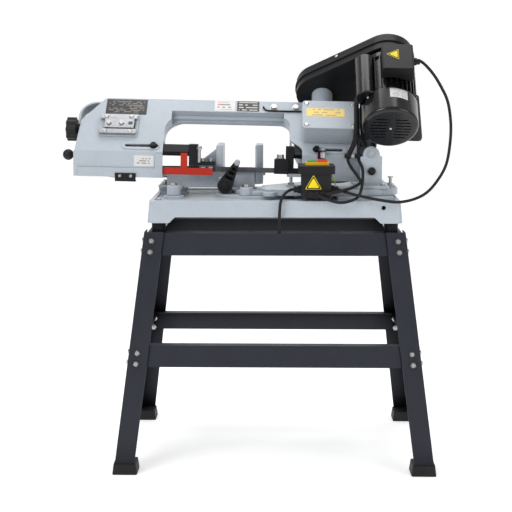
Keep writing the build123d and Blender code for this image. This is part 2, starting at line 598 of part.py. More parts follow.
with BuildPart() as arm_casting:
    with BuildSketch(back_plane):
        with BuildLine():
            Polyline(*arm_outline, close=True)
        make_face()
        fillet(vertices().filter_by(lambda v: abs(v.Y - throat_top) < 1 and v.X < 0), 50)
        fillet(vertices().filter_by(lambda v: abs(v.Y - throat_top) < 1 and v.X > 0), 28)
        fillet(vertices().filter_by(lambda v: 30 < v.X < 70 and 30 < v.Y < 60), 18)
        fillet(vertices().filter_by(lambda v: abs(v.X + 432) < 1), 16)
    extrude(amount=panel_n - casting_back_n)
    # the beam is stepped: a face band along the top, then two ledges set back below it
    bar(wheel_plane.offset(31), (-262, 100), (20, 148), 30, mode=Mode.SUBTRACT)
    bar(wheel_plane.offset(23), (-262, 100), (20, 138), 30, mode=Mode.SUBTRACT)
    # pockets open to the back, behind the wheels, the beam and the drive
    bar(back_plane, (left_end + 13, -40), (-281, 181), 29, mode=Mode.SUBTRACT)
    bar(back_plane, (-271, 153), (30, 181), 29, mode=Mode.SUBTRACT)
    bar(back_plane, (-271, 142), (30, 153), 12, mode=Mode.SUBTRACT)
    bar(back_plane, (40, -40), (right_end - 5, 181), 29, mode=Mode.SUBTRACT)
    block((-600, -300, 500), (400, front_y, 900), mode=Mode.SUBTRACT)
    block((-600, -300, 500), (400, 300, 690), mode=Mode.SUBTRACT)
    # upright front walls below the slanted panels, closed at the ends and along the bottom
    for left, right, foot in ((left_end, throat_left, housing_foot), (drive_left, right_end, 676)):
        block((left, front_y, foot), (right, front_y + casting_wall, 736))
        block((left, front_y, foot), (right, wall_back_y, foot + casting_wall))
    block((left_end, front_y, housing_foot), (left_end + casting_wall, wall_back_y, 716))
    block((right_end - casting_wall, front_y, 676), (right_end, wall_back_y, 716))
    # raised borders of the left housing's front
    block((left_end + 12, front_y - 2.5, housing_foot), (throat_left - 2, front_y, 697))
    block((-294, front_y - 2.5, housing_foot), (throat_left, front_y, 733))
    # windows where the blade and the guide bars pass, and the lug that meets the stop bolt
    window = [(front_y + 5, 681), (24, 681), (24, 755), (5, 762.3), (front_y + 5, 735.8)]
    for x in (throat_left - 6, drive_left - 1):
        outline(end(x), window, 7, mode=Mode.SUBTRACT)
    block((30, front_y, 683.6), (70, -2, 688.4))
    # rounded rim behind the chamfered corner
    with BuildSketch(back_plane):
        with BuildLine():
            Polyline((-436, 181), (-450.5, 181))
            ThreePointArc((-450.5, 181), (-483.03, 167.53), (-496.5, 135))
            Polyline((-496.5, 135), (-496.5, 104), (-491.5, 104), (-491.5, 135))
            ThreePointArc((-491.5, 135), (-479.49, 163.99), (-450.5, 176))
            Polyline((-450.5, 176), (-436, 176), (-436, 181))
        make_face()
    extrude(amount=26)
    bar(back_plane, (-438, 176), (-424, 184), 26)
    bar(back_plane, (-496.5, 104), (-482, 111), 26)
    # guide slots, with a raised pad around each
    for left, right in ((-378, -284), (84, 176)):
        with BuildSketch(panel_plane):
            with Locations(((left + right) / 2, guide_u)):
                SlotOverall(right - left, 24)
        extrude(amount=1.5)
    for left, right in ((-370, -287), (92, 166)):
        with BuildSketch(wheel_plane.offset(panel_n + 5)):
            with Locations(((left + right) / 2, guide_u)):
                SlotOverall(right - left, 9)
        extrude(amount=-15, mode=Mode.SUBTRACT)
    # tension pad with the slide's window
    with BuildSketch(panel_plane):
        with Locations((-391, 93)):
            RectangleRounded(98, 74, 6)
    extrude(amount=3)
    bar(wheel_plane.offset(panel_n + 5), (-418, 79.5), (-350, 102.5), -15, mode=Mode.SUBTRACT)
    # gearbox: a deep box on the drive side, its drive shaft boss and the worm's neck
    with BuildSketch(panel_plane):
        with Locations(((box_left + box_right) / 2, (box_low + box_high) / 2)):
            RectangleRounded(box_right - box_left, box_high - box_low, 8)
    extrude(amount=box_face - panel_n)
    with BuildSketch(panel_plane):
        with Locations(((box_left + box_right) / 2, (box_low + box_high) / 2)):
            RectangleRounded(box_right - box_left - 14, box_high - box_low - 14, 4)
    extrude(amount=80, mode=Mode.SUBTRACT)
    disc(across(box_high - 2), [(worm[0], -worm[1])], 26, guard_u[0] - box_high + 2)
    disc(back_plane, [(drive_x, wheel_u)], 24, panel_n - casting_back_n)
    bar(wheel_plane.offset(70), (box_right - 3, 62), (227, 132), plate_n - 70)
    # hinge barrel on the right, thinner where it passes the drive wheel, with the web that carries it
    disc(front(barrel_y[0] + 0.5), [(pivot_x, pivot_z)], 12.5, barrel_y[0] - barrel_y[1])
    disc(front(barrel_y[0] + 0.5), [(pivot_x, pivot_z)], 18, -30)
    block((right_end - 3, front_y, 690), (pivot_x, -11, 720))
    # bores
    disc(back_plane, [(drive_x, wheel_u)], 12.5 + running, 200, mode=Mode.SUBTRACT)
    disc(across(52), [(worm[0], -worm[1])], worm_radius + running, 200, mode=Mode.SUBTRACT)
    disc(front(-100), [(pivot_x, pivot_z)], pivot_radius + running, -300, mode=Mode.SUBTRACT)
    disc(end(left_end - 20), [tension_axis], 6.3, 40, mode=Mode.SUBTRACT)
    disc(end(left_end - 20), [(-5, 724)], 4.1, 40, mode=Mode.SUBTRACT)
    disc(wheel_plane.offset(box_face), cover_screw_places, 3.2, -12, mode=Mode.SUBTRACT)
    disc(wheel_plane.offset(panel_n + 5), gib_places, 3.2, -14, mode=Mode.SUBTRACT)
    disc(wheel_plane.offset(panel_n), beam_bolts, 4.2, -6, mode=Mode.SUBTRACT)
    disc(wheel_plane.offset(plate_n), plate_bolts, 3.7, -30, mode=Mode.SUBTRACT)
    disc(front(front_y - 4), bracket_screws + [(stop_x, 718)], 2.7, -12, mode=Mode.SUBTRACT)
finish(arm_casting, "arm_casting", arm_seat)

# --- Blade and wheels ----------------------------------------------------------------------

blade_width, blade_thickness = 13, 0.65
twist_x = ((-330, -198), (30, 100))


def on_wheel(n):
    return wheel_plane.offset(n)


def blade_section(x, lean):
    """The blade's cross-section at x, leaning back from upright by an angle."""
    height = blade_z - lean / 45 * 0.23
    with BuildSketch(Plane(origin=(x, -lean / 45 * 0.23, height), x_dir=(0, 1, 0), z_dir=(1, 0, 0))) as section:
        Rectangle(blade_thickness, blade_width, rotation=lean)
    return section.sketch.face()


with BuildPart() as blade:
    inside = wheel_radius
    for radius, mode in ((inside + blade_thickness, Mode.ADD), (inside, Mode.SUBTRACT)):
        with BuildSketch(on_wheel(-blade_width / 2)):
            with Locations(((idler_x + drive_x) / 2, wheel_u)):
                SlotCenterToCenter(drive_x - idler_x, 2 * radius)
        extrude(amount=blade_width, mode=mode)
    bar(on_wheel(-20), (twist_x[0][0], -10), (twist_x[1][1], 10), 40, mode=Mode.SUBTRACT)
    (twist_out, upright_left), (upright_right, twist_in) = twist_x
    loft([blade_section(twist_out, 45), blade_section(upright_left, 0)], ruled=True)
    block(
        (upright_left, -blade_thickness / 2, blade_z - blade_width / 2),
        (upright_right, blade_thickness / 2, blade_z + blade_width / 2),
    )
    loft([blade_section(upright_right, 0), blade_section(twist_in, 45)], ruled=True)
finish(blade, "blade", arm_seat)

for label, x, bore in (("idler_wheel", idler_x, 10), ("drive_wheel", drive_x, 12.5)):
    with BuildPart() as wheel:
        disc(on_wheel(-6.7), [(x, wheel_u)], wheel_radius - 0.1, 16.7)
        disc(on_wheel(-10), [(x, wheel_u)], wheel_radius + 3, 3.3)
        for n, depth in ((10, -8), (-10, 8)):
            with BuildSketch(on_wheel(n)):
                with Locations((x, wheel_u)):
                    Circle(wheel_radius - 10)
                    Circle(24, mode=Mode.SUBTRACT)
            extrude(amount=depth, mode=Mode.SUBTRACT)
        with BuildSketch(on_wheel(-10)):
            with Locations((x, wheel_u)):
                with PolarLocations(51, 5):
                    Circle(16)
        extrude(amount=20, mode=Mode.SUBTRACT)
        disc(on_wheel(-12), [(x, wheel_u)], 22, 24)
        fit = running if label == "idler_wheel" else seated
        disc(on_wheel(-20), [(x, wheel_u)], bore + fit, 40, mode=Mode.SUBTRACT)
    finish(wheel, label, arm_seat)

with BuildPart() as drive_shaft:
    disc(on_wheel(-15), [(drive_x, wheel_u)], 12.5, 83)
    disc(on_wheel(-18), [(drive_x, wheel_u)], 16, 3)
    chamfer(drive_shaft.edges().filter_by(GeomType.CIRCLE).sort_by(Axis.Z)[-1], 1)
finish(drive_shaft, "drive_shaft", arm_seat)

gear_teeth, gear_module, gear_width = 24, 2, 14
gear_pitch_radius = gear_teeth * gear_module / 2
gear_n = worm[1] - gear_width / 2
with BuildPart() as worm_gear:
    disc(on_wheel(gear_n), [(drive_x, wheel_u)], gear_pitch_radius + gear_module, gear_width)
    with BuildSketch(on_wheel(gear_n)):
        with Locations((drive_x, wheel_u)):
            with PolarLocations(gear_pitch_radius + gear_module, gear_teeth):
                Trapezoid(4.4 * gear_module, 2.2 * gear_module * 1.15, 68, rotation=90)
    extrude(amount=gear_width, mode=Mode.SUBTRACT)
    disc(on_wheel(gear_n), [(drive_x, wheel_u)], 12.5 + seated, gear_width, mode=Mode.SUBTRACT)
finish(worm_gear, "worm_gear", arm_seat)

with BuildPart() as worm_shaft:
    disc(across(54), [(worm[0], -worm[1])], worm_radius, 192)
    with BuildSketch(across(68)):
        with Locations((worm[0], -worm[1])):
            Circle(worm_radius + 5)
            Circle(8.6, mode=Mode.SUBTRACT)
    extrude(amount=42, mode=Mode.SUBTRACT)
    disc(across(58), [(worm[0], -worm[1])], 9.8, 5)
    disc(across(117), [(worm[0], -worm[1])], 9.8, 5)
finish(worm_shaft, "worm_shaft", arm_seat)

# --- Tension slide -------------------------------------------------------------------------

with BuildPart() as tension_slide:
    bar(on_wheel(panel_n + 3.1), (-425, 76), (-352, 106), 10)
    bar(on_wheel(42), (-417, 80), (-362, 102), 12)
    bar(on_wheel(15), (-409, 74), (-371, 104), 28)
    disc(on_wheel(15.5), [(idler_x, wheel_u)], 10, -30.5)
    bar(on_wheel(56), (-366, 86), (-356, 96), 10, mode=Mode.SUBTRACT)
    disc(end(-430), [tension_axis], 6 + running, 80, mode=Mode.SUBTRACT)
finish(tension_slide, "tension_slide", arm_seat)

with BuildPart() as tension_knob:
    with BuildSketch(end(-521)):
        with Locations(tension_axis):
            Circle(25)
            with PolarLocations(23, 8):
                Circle(6.5)
    extrude(amount=24)
    fillet(tension_knob.faces().sort_by(Axis.X)[0].edges(), 2)
    disc(end(-497.5), [tension_axis], 10, 4)
    disc(end(-497.5), [tension_axis], 6, 122)
finish(tension_knob, "tension_knob", arm_seat)

with BuildPart() as tension_gibs:
    for low, high in ((60, 74), (108, 122)):
        bar(on_wheel(panel_n + 3), (-436, low), (-346, high), 8)
    disc(on_wheel(70), gib_places, 3.2, -40, mode=Mode.SUBTRACT)
finish(tension_gibs, "tension_gibs", arm_seat)

# --- Blade guides --------------------------------------------------------------------------

left_slot_bolt, right_slot_bolt = (-299.6, guide_u), (101, guide_u)


def guide_bar(low, high, bolt):
    """A guide bar behind the slanted panel, and the bolt that holds it through the slot."""
    bar(on_wheel(28), (low, guide_u - 12.5), (high, guide_u + 12.5), 14.8)
    disc(on_wheel(20), [bolt], 4.1, 30, mode=Mode.SUBTRACT)
    hex_screws(on_wheel(panel_n + 1.5), [bolt], 8.5, 18, washer=1.6)


with BuildPart() as left_guide_bar:
    guide_bar(-335, -212.1, left_slot_bolt)
finish(left_guide_bar, "left_guide_bar", arm_seat)

with BuildPart() as right_guide_bar:
    guide_bar(46.1, 150, right_slot_bolt)
finish(right_guide_bar, "right_guide_bar", arm_seat)

roller_x = (-177, -158)
with BuildPart() as left_guide_block:
    block((-212, -18, 704), (-190, 10, 757))
    block((-255, -16, 730), (-211, 4, 744), mode=Mode.SUBTRACT)
    block((-191, -17, 706), (-147, 5.5, 716))
    block((-200, -20, 716), (-184, 3, 732))
    disc(Plane.XY.offset(700), [(x, y) for x in roller_x for y in (-9.95, 3.6)], 1.6, 20, mode=Mode.SUBTRACT)
finish(left_guide_block, "left_guide_block", arm_seat)

with BuildPart() as left_guide_rollers:
    for y, radius in ((-9.95, 9.5), (3.6, 3.1)):
        places = [(x, y) for x in roller_x]
        disc(Plane.XY.offset(691), places, radius, 12)
        disc(Plane.XY.offset(700), places, 1.5, 20)
        nut = min(radius, 5.5)
        with BuildSketch(Plane.XY.offset(716)):
            with Locations(*places):
                RegularPolygon(nut, 6)
        extrude(amount=7)
finish(left_guide_rollers, "left_guide_rollers", arm_seat)

with BuildPart() as red_guard:
    block((-302, -20.9, 682.5), (-153, -19.7, 700))
    block((-232, -20.9, 699), (-215, -19.7, 736))
finish(red_guard, "red_guard", arm_seat)

with BuildPart() as right_guide_block:
    block((26, -18, 704), (46, 12, 757))
    block((-2, -25, 690), (33, -0.7, 726))
    block((-2, -24, 706), (37, 5, 716))
    block((4, 0.7, 691), (28, 5, 707))
    block((32, -16, 690), (64, -8, 704))
    disc(Plane.XY.offset(726), [(13, -13)], 10.5, 2)
finish(right_guide_block, "right_guide_block", arm_seat)

# --- Wheel covers --------------------------------------------------------------------------

cover_radius, cover_wall = 104, 2
cover_back, cover_front = -25, 13
cover_hinge = (196, 8)  # u, n


def wheel_cover(x):
    """A round pan behind a wheel, open to the front."""
    disc(on_wheel(cover_back), [(x, wheel_u)], cover_radius, cover_front - cover_back)
    disc(on_wheel(cover_back + cover_wall), [(x, wheel_u)], cover_radius - cover_wall, 80, mode=Mode.SUBTRACT)


with BuildPart() as idler_cover:
    wheel_cover(idler_x)
    for u in (0, 177):
        bar(on_wheel(-9), (-370, u - 9), (-270, u + 9), 40, mode=Mode.SUBTRACT)
    hinge_y = (cover_hinge[0] - cover_hinge[1]) * sqrt(0.5)
    hinge_z = blade_z + sum(cover_hinge) * sqrt(0.5)
    disc(end(-420), [(hinge_y, hinge_z)], 4, 60)
    bar(on_wheel(4), (-420, 190), (-360, 197), 2)
    disc(on_wheel(cover_back), [(-330, 20)], 8, -9)
finish(idler_cover, "idler_cover", arm_seat)

with BuildPart() as drive_cover:
    wheel_cover(drive_x)
    for u in (0, 177):
        bar(on_wheel(-9), (30, u - 9), (130, u + 9), 40, mode=Mode.SUBTRACT)
    bar(on_wheel(-12), (-284, 165), (80, 192), cover_front + 12)
    bar(on_wheel(-10.5), (-300, 166.5), (90, 190.5), 60, mode=Mode.SUBTRACT)
    disc(front(-100), [(pivot_x, pivot_z)], 22, -300, mode=Mode.SUBTRACT)
finish(drive_cover, "drive_cover", arm_seat)

# --- Gearbox cover, brackets and screws ----------------------------------------------------

trip = (stop_x, button_y)
trip_foot = frame_top + 2.3

with BuildPart() as gearbox_cover:
    with BuildSketch(on_wheel(box_face + 0.1)):
        with Locations(((box_left + box_right) / 2, (box_low + box_high) / 2)):
            RectangleRounded(box_right - box_left + 4, box_high - box_low + 4, 9)
    extrude(amount=4)
    disc(on_wheel(120), cover_screw_places, 3.2, -40, mode=Mode.SUBTRACT)
    fillet(gearbox_cover.faces().sort_by(Axis.Z)[-1].outer_wire().edges(), 1)
finish(gearbox_cover, "gearbox_cover", arm_seat)

with BuildPart() as arm_brackets:
    block((-392, front_y - 5.1, 663.5), (-341, front_y - 2.6, 684))
    block((-392, front_y - 5.1, 663.5), (-341, front_y + 12, 666))
    block((trip[0] - 8, front_y - 2.6, 706), (trip[0] + 8, front_y - 0.1, 757))
    block((trip[0] - 8, trip[1] - 9, 754.5), (trip[0] + 8, front_y - 0.1, 757))
    disc(Plane.XY.offset(800), [trip], 3.2, -60, mode=Mode.SUBTRACT)
    disc(front(-60), bracket_screws + [(trip[0], 718)], 2.7, -60, mode=Mode.SUBTRACT)
finish(arm_brackets, "arm_brackets", arm_seat)

with BuildPart() as arm_screws:
    dome_screws(on_wheel(box_face + 4.1), cover_screw_places, 6, 3, 12, 3)
    dome_screws(on_wheel(panel_n + 11), gib_places, 6, 3, 12, 3)
    dome_screws(front(front_y - 5.1), bracket_screws, 4.5, 2.5, 5, 2.5)
    dome_screws(front(front_y - 2.6), [(trip[0], 718)], 4.5, 2.5, 5, 2.5)
    hex_screws(on_wheel(panel_n), beam_bolts, 8, 4, washer=2)
    hex_screws(on_wheel(plate_n + 6), plate_bolts, 7, 16)
    underneath = Plane(origin=on_wheel(plate_n).origin, x_dir=(1, 0, 0), z_dir=(0, 1, -1))
    hex_screws(underneath, [(x, -u) for x, u in foot_bolts], 7, 20)
    hex_screws(Plane.XY.offset(757), [trip], 6, 757 - trip_foot - 3, washer=1)
    disc(Plane.XY.offset(trip_foot + 4), [trip], 6, 13)
finish(arm_screws, "arm_screws", arm_seat)

with BuildPart() as lift_knob:
    ball = (-511, 724)
    with BuildSketch(front(-5)):
        with Locations(ball):
            Circle(13.5)
            Rectangle(40, 40, align=(Align.CENTER, Align.MAX), mode=Mode.SUBTRACT)
    revolve(axis=Axis((ball[0], -5, ball[1]), (1, 0, 0)))
    disc(end(-500), [(-5, ball[1])], 4, 18)
finish(lift_knob, "lift_knob", arm_seat)

# --- Belt drive ----------------------------------------------------------------------------

worm_spot, motor_spot = (worm[0], -worm[1]), (motor[0], -motor[1])
guard_low, guard_seam, guard_top = guard_u


def guard_oval(u, radius, depth, mode=Mode.ADD):
    """A slab over both pulleys: the hull of two equal circles about the worm and the motor."""
    with BuildSketch(across(u)) as face:
        with Locations(worm_spot, motor_spot):
            Circle(radius)
        make_hull()
    extrude(face.sketch, amount=depth, mode=mode)


with BuildPart() as belt_guard_back:
    guard_oval(guard_low, guard_radius, guard_seam - guard_low)
    guard_oval(guard_seam - 3, guard_radius + 3, 3)
    guard_oval(guard_low + 2, guard_radius - 2, 40, mode=Mode.SUBTRACT)
    disc(across(guard_low - 5), [worm_spot], 12, 20, mode=Mode.SUBTRACT)
    disc(across(guard_low - 5), [motor_spot], 24, 20, mode=Mode.SUBTRACT)
finish(belt_guard_back, "belt_guard_back", arm_seat)

with BuildPart() as belt_guard_cover:
    guard_oval(guard_seam + 0.1, guard_radius, guard_top - guard_seam)
    fillet(belt_guard_cover.faces().sort_by(Axis((0, 0, 0), (0, 1, 1)))[-1].edges(), 8)
    guard_oval(guard_seam + 0.1, guard_radius + 3, 3)
    guard_oval(guard_seam, guard_radius - 2, guard_top - guard_seam - 9, mode=Mode.SUBTRACT)
    guard_oval(guard_seam, guard_radius - 9, guard_top - guard_seam - 2.5, mode=Mode.SUBTRACT)
finish(belt_guard_cover, "belt_guard_cover", arm_seat)

belt_width, belt_height = 10, 8
worm_pulley_radius, motor_pulley_radius = 45, 31
with BuildPart() as v_belt:
    for inset, mode in ((0, Mode.ADD), (belt_height, Mode.SUBTRACT)):
        with BuildSketch(across(belt_u - belt_width / 2)):
            with Locations(worm_spot):
                Circle(worm_pulley_radius - inset)
            with Locations(motor_spot):
                Circle(motor_pulley_radius - inset)
            make_hull()
        extrude(amount=belt_width, mode=mode)
finish(v_belt, "v_belt", arm_seat)

for label, spot, radius, bore in (
    ("worm_pulley", worm_spot, worm_pulley_radius, worm_radius),
    ("motor_pulley", motor_spot, motor_pulley_radius, 9.5),
):
    with BuildPart() as pulley:
        disc(across(belt_u - 9), [spot], radius + 0.5, 18)
        with BuildSketch(across(belt_u - belt_width / 2 - 0.2)):
            with Locations(spot):
                Circle(radius + 5)
                Circle(radius - belt_height - 0.5, mode=Mode.SUBTRACT)
        extrude(amount=belt_width + 0.4, mode=Mode.SUBTRACT)
        disc(across(200), [spot], bore + seated, 60, mode=Mode.SUBTRACT)
    finish(pulley, label, arm_seat)

# --- Motor ---------------------------------------------------------------------------------

cowl_end, shield, motor_end = -1, 64, 195
plate_x, plate_u = (206, 354), (27, 177)

with BuildPart() as motor_plate:
    with BuildSketch(on_wheel(plate_n + 0.1)):
        with Locations((sum(plate_x) / 2, sum(plate_u) / 2)):
            RectangleRounded(plate_x[1] - plate_x[0], plate_u[1] - plate_u[0], 10)
    extrude(amount=5.9)
    disc(on_wheel(80), plate_bolts + foot_bolts, 3.7, 40, mode=Mode.SUBTRACT)
finish(motor_plate, "motor_plate", arm_seat)

with BuildPart() as motor_body:
    disc(across(shield), [motor_spot], motor_radius, motor_end - shield)
    disc(across(shield), [motor_spot], fin_radius - 2.2, 6)
    disc(across(motor_end - 16), [motor_spot], fin_radius - 1, 12)
    with BuildSketch(across(shield + 9)):
        with Locations(motor_spot):
            with PolarLocations((motor_radius + fin_radius) / 2 - 0.5, 32):
                Rectangle(fin_radius - motor_radius + 1, 2.6)
    extrude(amount=motor_end - shield - 28)
    for x in (237, 301):
        bar(across(84), (x - 12, -126), (x + 12, -plate_n - 6.1), 80)
    disc(across(shield + 7), [motor_spot], 36, motor_end - shield - 20, mode=Mode.SUBTRACT)
    disc(across(shield - 5), [motor_spot], 9.5 + running, 200, mode=Mode.SUBTRACT)
    disc(on_wheel(90), foot_bolts, 3.7, 24, mode=Mode.SUBTRACT)
finish(motor_body, "motor_body", arm_seat)

with BuildPart() as fan_cowl:
    disc(across(cowl_end), [motor_spot], fin_radius, shield - cowl_end + 6)
    fillet(fan_cowl.edges().sort_by(Axis((0, 0, 0), (0, 1, 1)))[0], 9)
    disc(across(cowl_end + 9), [motor_spot], fin_radius - 2, 100, mode=Mode.SUBTRACT)
    disc(across(cowl_end + 2.5), [motor_spot], fin_radius - 9, 100, mode=Mode.SUBTRACT)
    with BuildSketch(across(cowl_end - 1)):
        for row in range(-3, 4):
            half = sqrt(49**2 - (10 * row) ** 2)
            for way in (-1, 1):
                with Locations((motor_spot[0] + way * (half + 9) / 2, motor_spot[1] + 10 * row)):
                    SlotOverall(half - 9, 3.6)
    extrude(amount=5, mode=Mode.SUBTRACT)
finish(fan_cowl, "fan_cowl", arm_seat)

with BuildPart() as rotor:
    disc(across(12), [motor_spot], 9.5, 232)
    disc(across(80), [motor_spot], 35, 88)
    disc(across(22), [motor_spot], 14, 24)
    disc(across(42), [motor_spot], 52, 3)
    with BuildSketch(across(24)):
        with Locations(motor_spot):
            with PolarLocations(32, 8):
                Rectangle(38, 2.4)
    extrude(amount=19)
finish(rotor, "rotor", arm_seat)

with BuildPart() as capacitor_cover:
    with BuildSketch(across(63)):
        with Locations((212, -196)):
            Circle(25.5)
        with Locations(motor_spot):
            Circle(fin_radius + 0.6, mode=Mode.SUBTRACT)
    extrude(amount=123)
    fillet(capacitor_cover.faces().sort_by(Axis((0, 0, 0), (0, 1, 1)))[0].edges(), 3)
finish(capacitor_cover, "capacitor_cover", arm_seat)

gland_place = ((140 - 245) * sqrt(0.5), blade_z + (140 + 245) * sqrt(0.5))
with BuildPart() as terminal_box:
    with BuildSketch(across(100)):
        with Locations(((246 + 320) / 2, -(220 + 262) / 2)):
            RectangleRounded(320 - 246, 262 - 220, 5)
        with Locations(motor_spot):
            Circle(fin_radius + 0.6, mode=Mode.SUBTRACT)
    extrude(amount=80)
    bar(across(104), (251, -252), (315, -240), 72, mode=Mode.SUBTRACT)
    disc(end(320), [gland_place], 9, 8)
    disc(end(328), [gland_place], 7, 8)
    disc(end(314), [gland_place], 3.7, 40, mode=Mode.SUBTRACT)
finish(terminal_box, "terminal_box", arm_seat)

cable_radius = 3.5
with BuildPart() as motor_cable:
    cable(
        [(337, gland_place[0], gland_place[1]), (360, -80, 955), (386, -87, 914), (405, -94, 870),
         (415, -100, 820), (412, -106, 770)],
        cable_radius,
    )
finish(motor_cable, "motor_cable", arm_seat)

with BuildPart() as power_cable:
    cable([(39, -130, 671), (24, -148, 663), (15, -160.5, 640), (12, -161, 612), (12, -150, 586)], cable_radius)
finish(power_cable, "power_cable")
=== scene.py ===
"""Looks for a swivel-head metal-cutting band saw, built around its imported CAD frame.

The arm's pieces are placed in the arm's own level axes: x along the blade, u up the slanted wheels and n
forward from them, or x, y, z for its upright front. Those axes, and the saw's centre, come from the joints.
The saw's lengths are in millimetres and are scaled once, in the placing functions. The backdrop and the
lights are in metres.
"""

import json
import math

import bmesh
import bpy
from mathutils import Matrix, Vector


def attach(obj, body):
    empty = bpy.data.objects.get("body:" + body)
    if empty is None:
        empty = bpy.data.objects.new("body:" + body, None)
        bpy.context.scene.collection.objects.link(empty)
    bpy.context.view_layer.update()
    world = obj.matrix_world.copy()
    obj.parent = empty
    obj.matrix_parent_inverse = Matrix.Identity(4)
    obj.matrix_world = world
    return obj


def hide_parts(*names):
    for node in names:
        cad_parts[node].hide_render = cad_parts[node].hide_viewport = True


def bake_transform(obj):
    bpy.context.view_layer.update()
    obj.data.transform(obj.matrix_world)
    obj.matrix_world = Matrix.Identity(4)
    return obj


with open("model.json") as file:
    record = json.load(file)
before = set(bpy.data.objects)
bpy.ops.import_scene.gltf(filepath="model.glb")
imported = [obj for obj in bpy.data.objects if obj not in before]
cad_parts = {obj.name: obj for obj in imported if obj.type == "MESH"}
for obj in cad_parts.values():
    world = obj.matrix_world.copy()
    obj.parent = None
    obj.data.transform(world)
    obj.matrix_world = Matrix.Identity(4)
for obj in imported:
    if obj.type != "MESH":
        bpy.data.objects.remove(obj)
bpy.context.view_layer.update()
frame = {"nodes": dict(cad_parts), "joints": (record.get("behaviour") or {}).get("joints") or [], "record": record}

MM = 0.001
JOINTS = {joint["name"]: joint for joint in frame["joints"]}


def joint_point(name):
    return Vector(JOINTS[name]["pos_m"])


def joint_axis(name):
    return Vector(JOINTS[name]["axis"]).normalized()


# --- Places ----------------------------------------------------------------------------------

ALONG = joint_axis("left_guide_slide")
WHEEL_UP = joint_axis("motor_spin")
WHEEL_OUT = joint_axis("idler_spin")
ARM_UP = Vector((-ALONG.z, 0, ALONG.x))
RIGHT, FRONT, UP = Vector((1, 0, 0)), Vector((0, -1, 0)), Vector((0, 0, 1))
PIVOT = joint_point("arm_pivot")
PIVOT_X, PIVOT_Z = 235, 705
IDLER = joint_point("idler_spin")
IDLER_X, DRIVE_X = -390, 150
WHEEL_RADIUS = 89
WHEEL_U = WHEEL_RADIUS  # u is measured from the blade's lower run
PIN_X = -48  # the swivel pin, from the stand's centre
CENTRE = joint_point("swivel_turn").x - PIN_X * MM


def slanted(x, u, n):
    """A point in the arm's slanted axes."""
    return IDLER + (ALONG * (x - IDLER_X) + WHEEL_UP * (u - WHEEL_U) + WHEEL_OUT * n) * MM


def upright(x, y, z):
    """A point in the arm's upright axes."""
    return PIVOT + (ALONG * (x - PIVOT_X) - FRONT * y + ARM_UP * (z - PIVOT_Z)) * MM


def standing(x, y, z):
    """A point on the stand, the base or the swivel head, with x from the stand's centre."""
    return Vector((CENTRE + x * MM, y * MM, z * MM))


def seat(origin, right, out):
    """The placing matrix of a flat piece: its local x runs right, and its z stands out of the surface."""
    out, right = out.normalized(), right.normalized()
    up = out.cross(right)
    matrix = Matrix((right, up, out)).transposed().to_4x4()
    matrix.translation = origin
    return matrix


# --- Materials -------------------------------------------------------------------------------


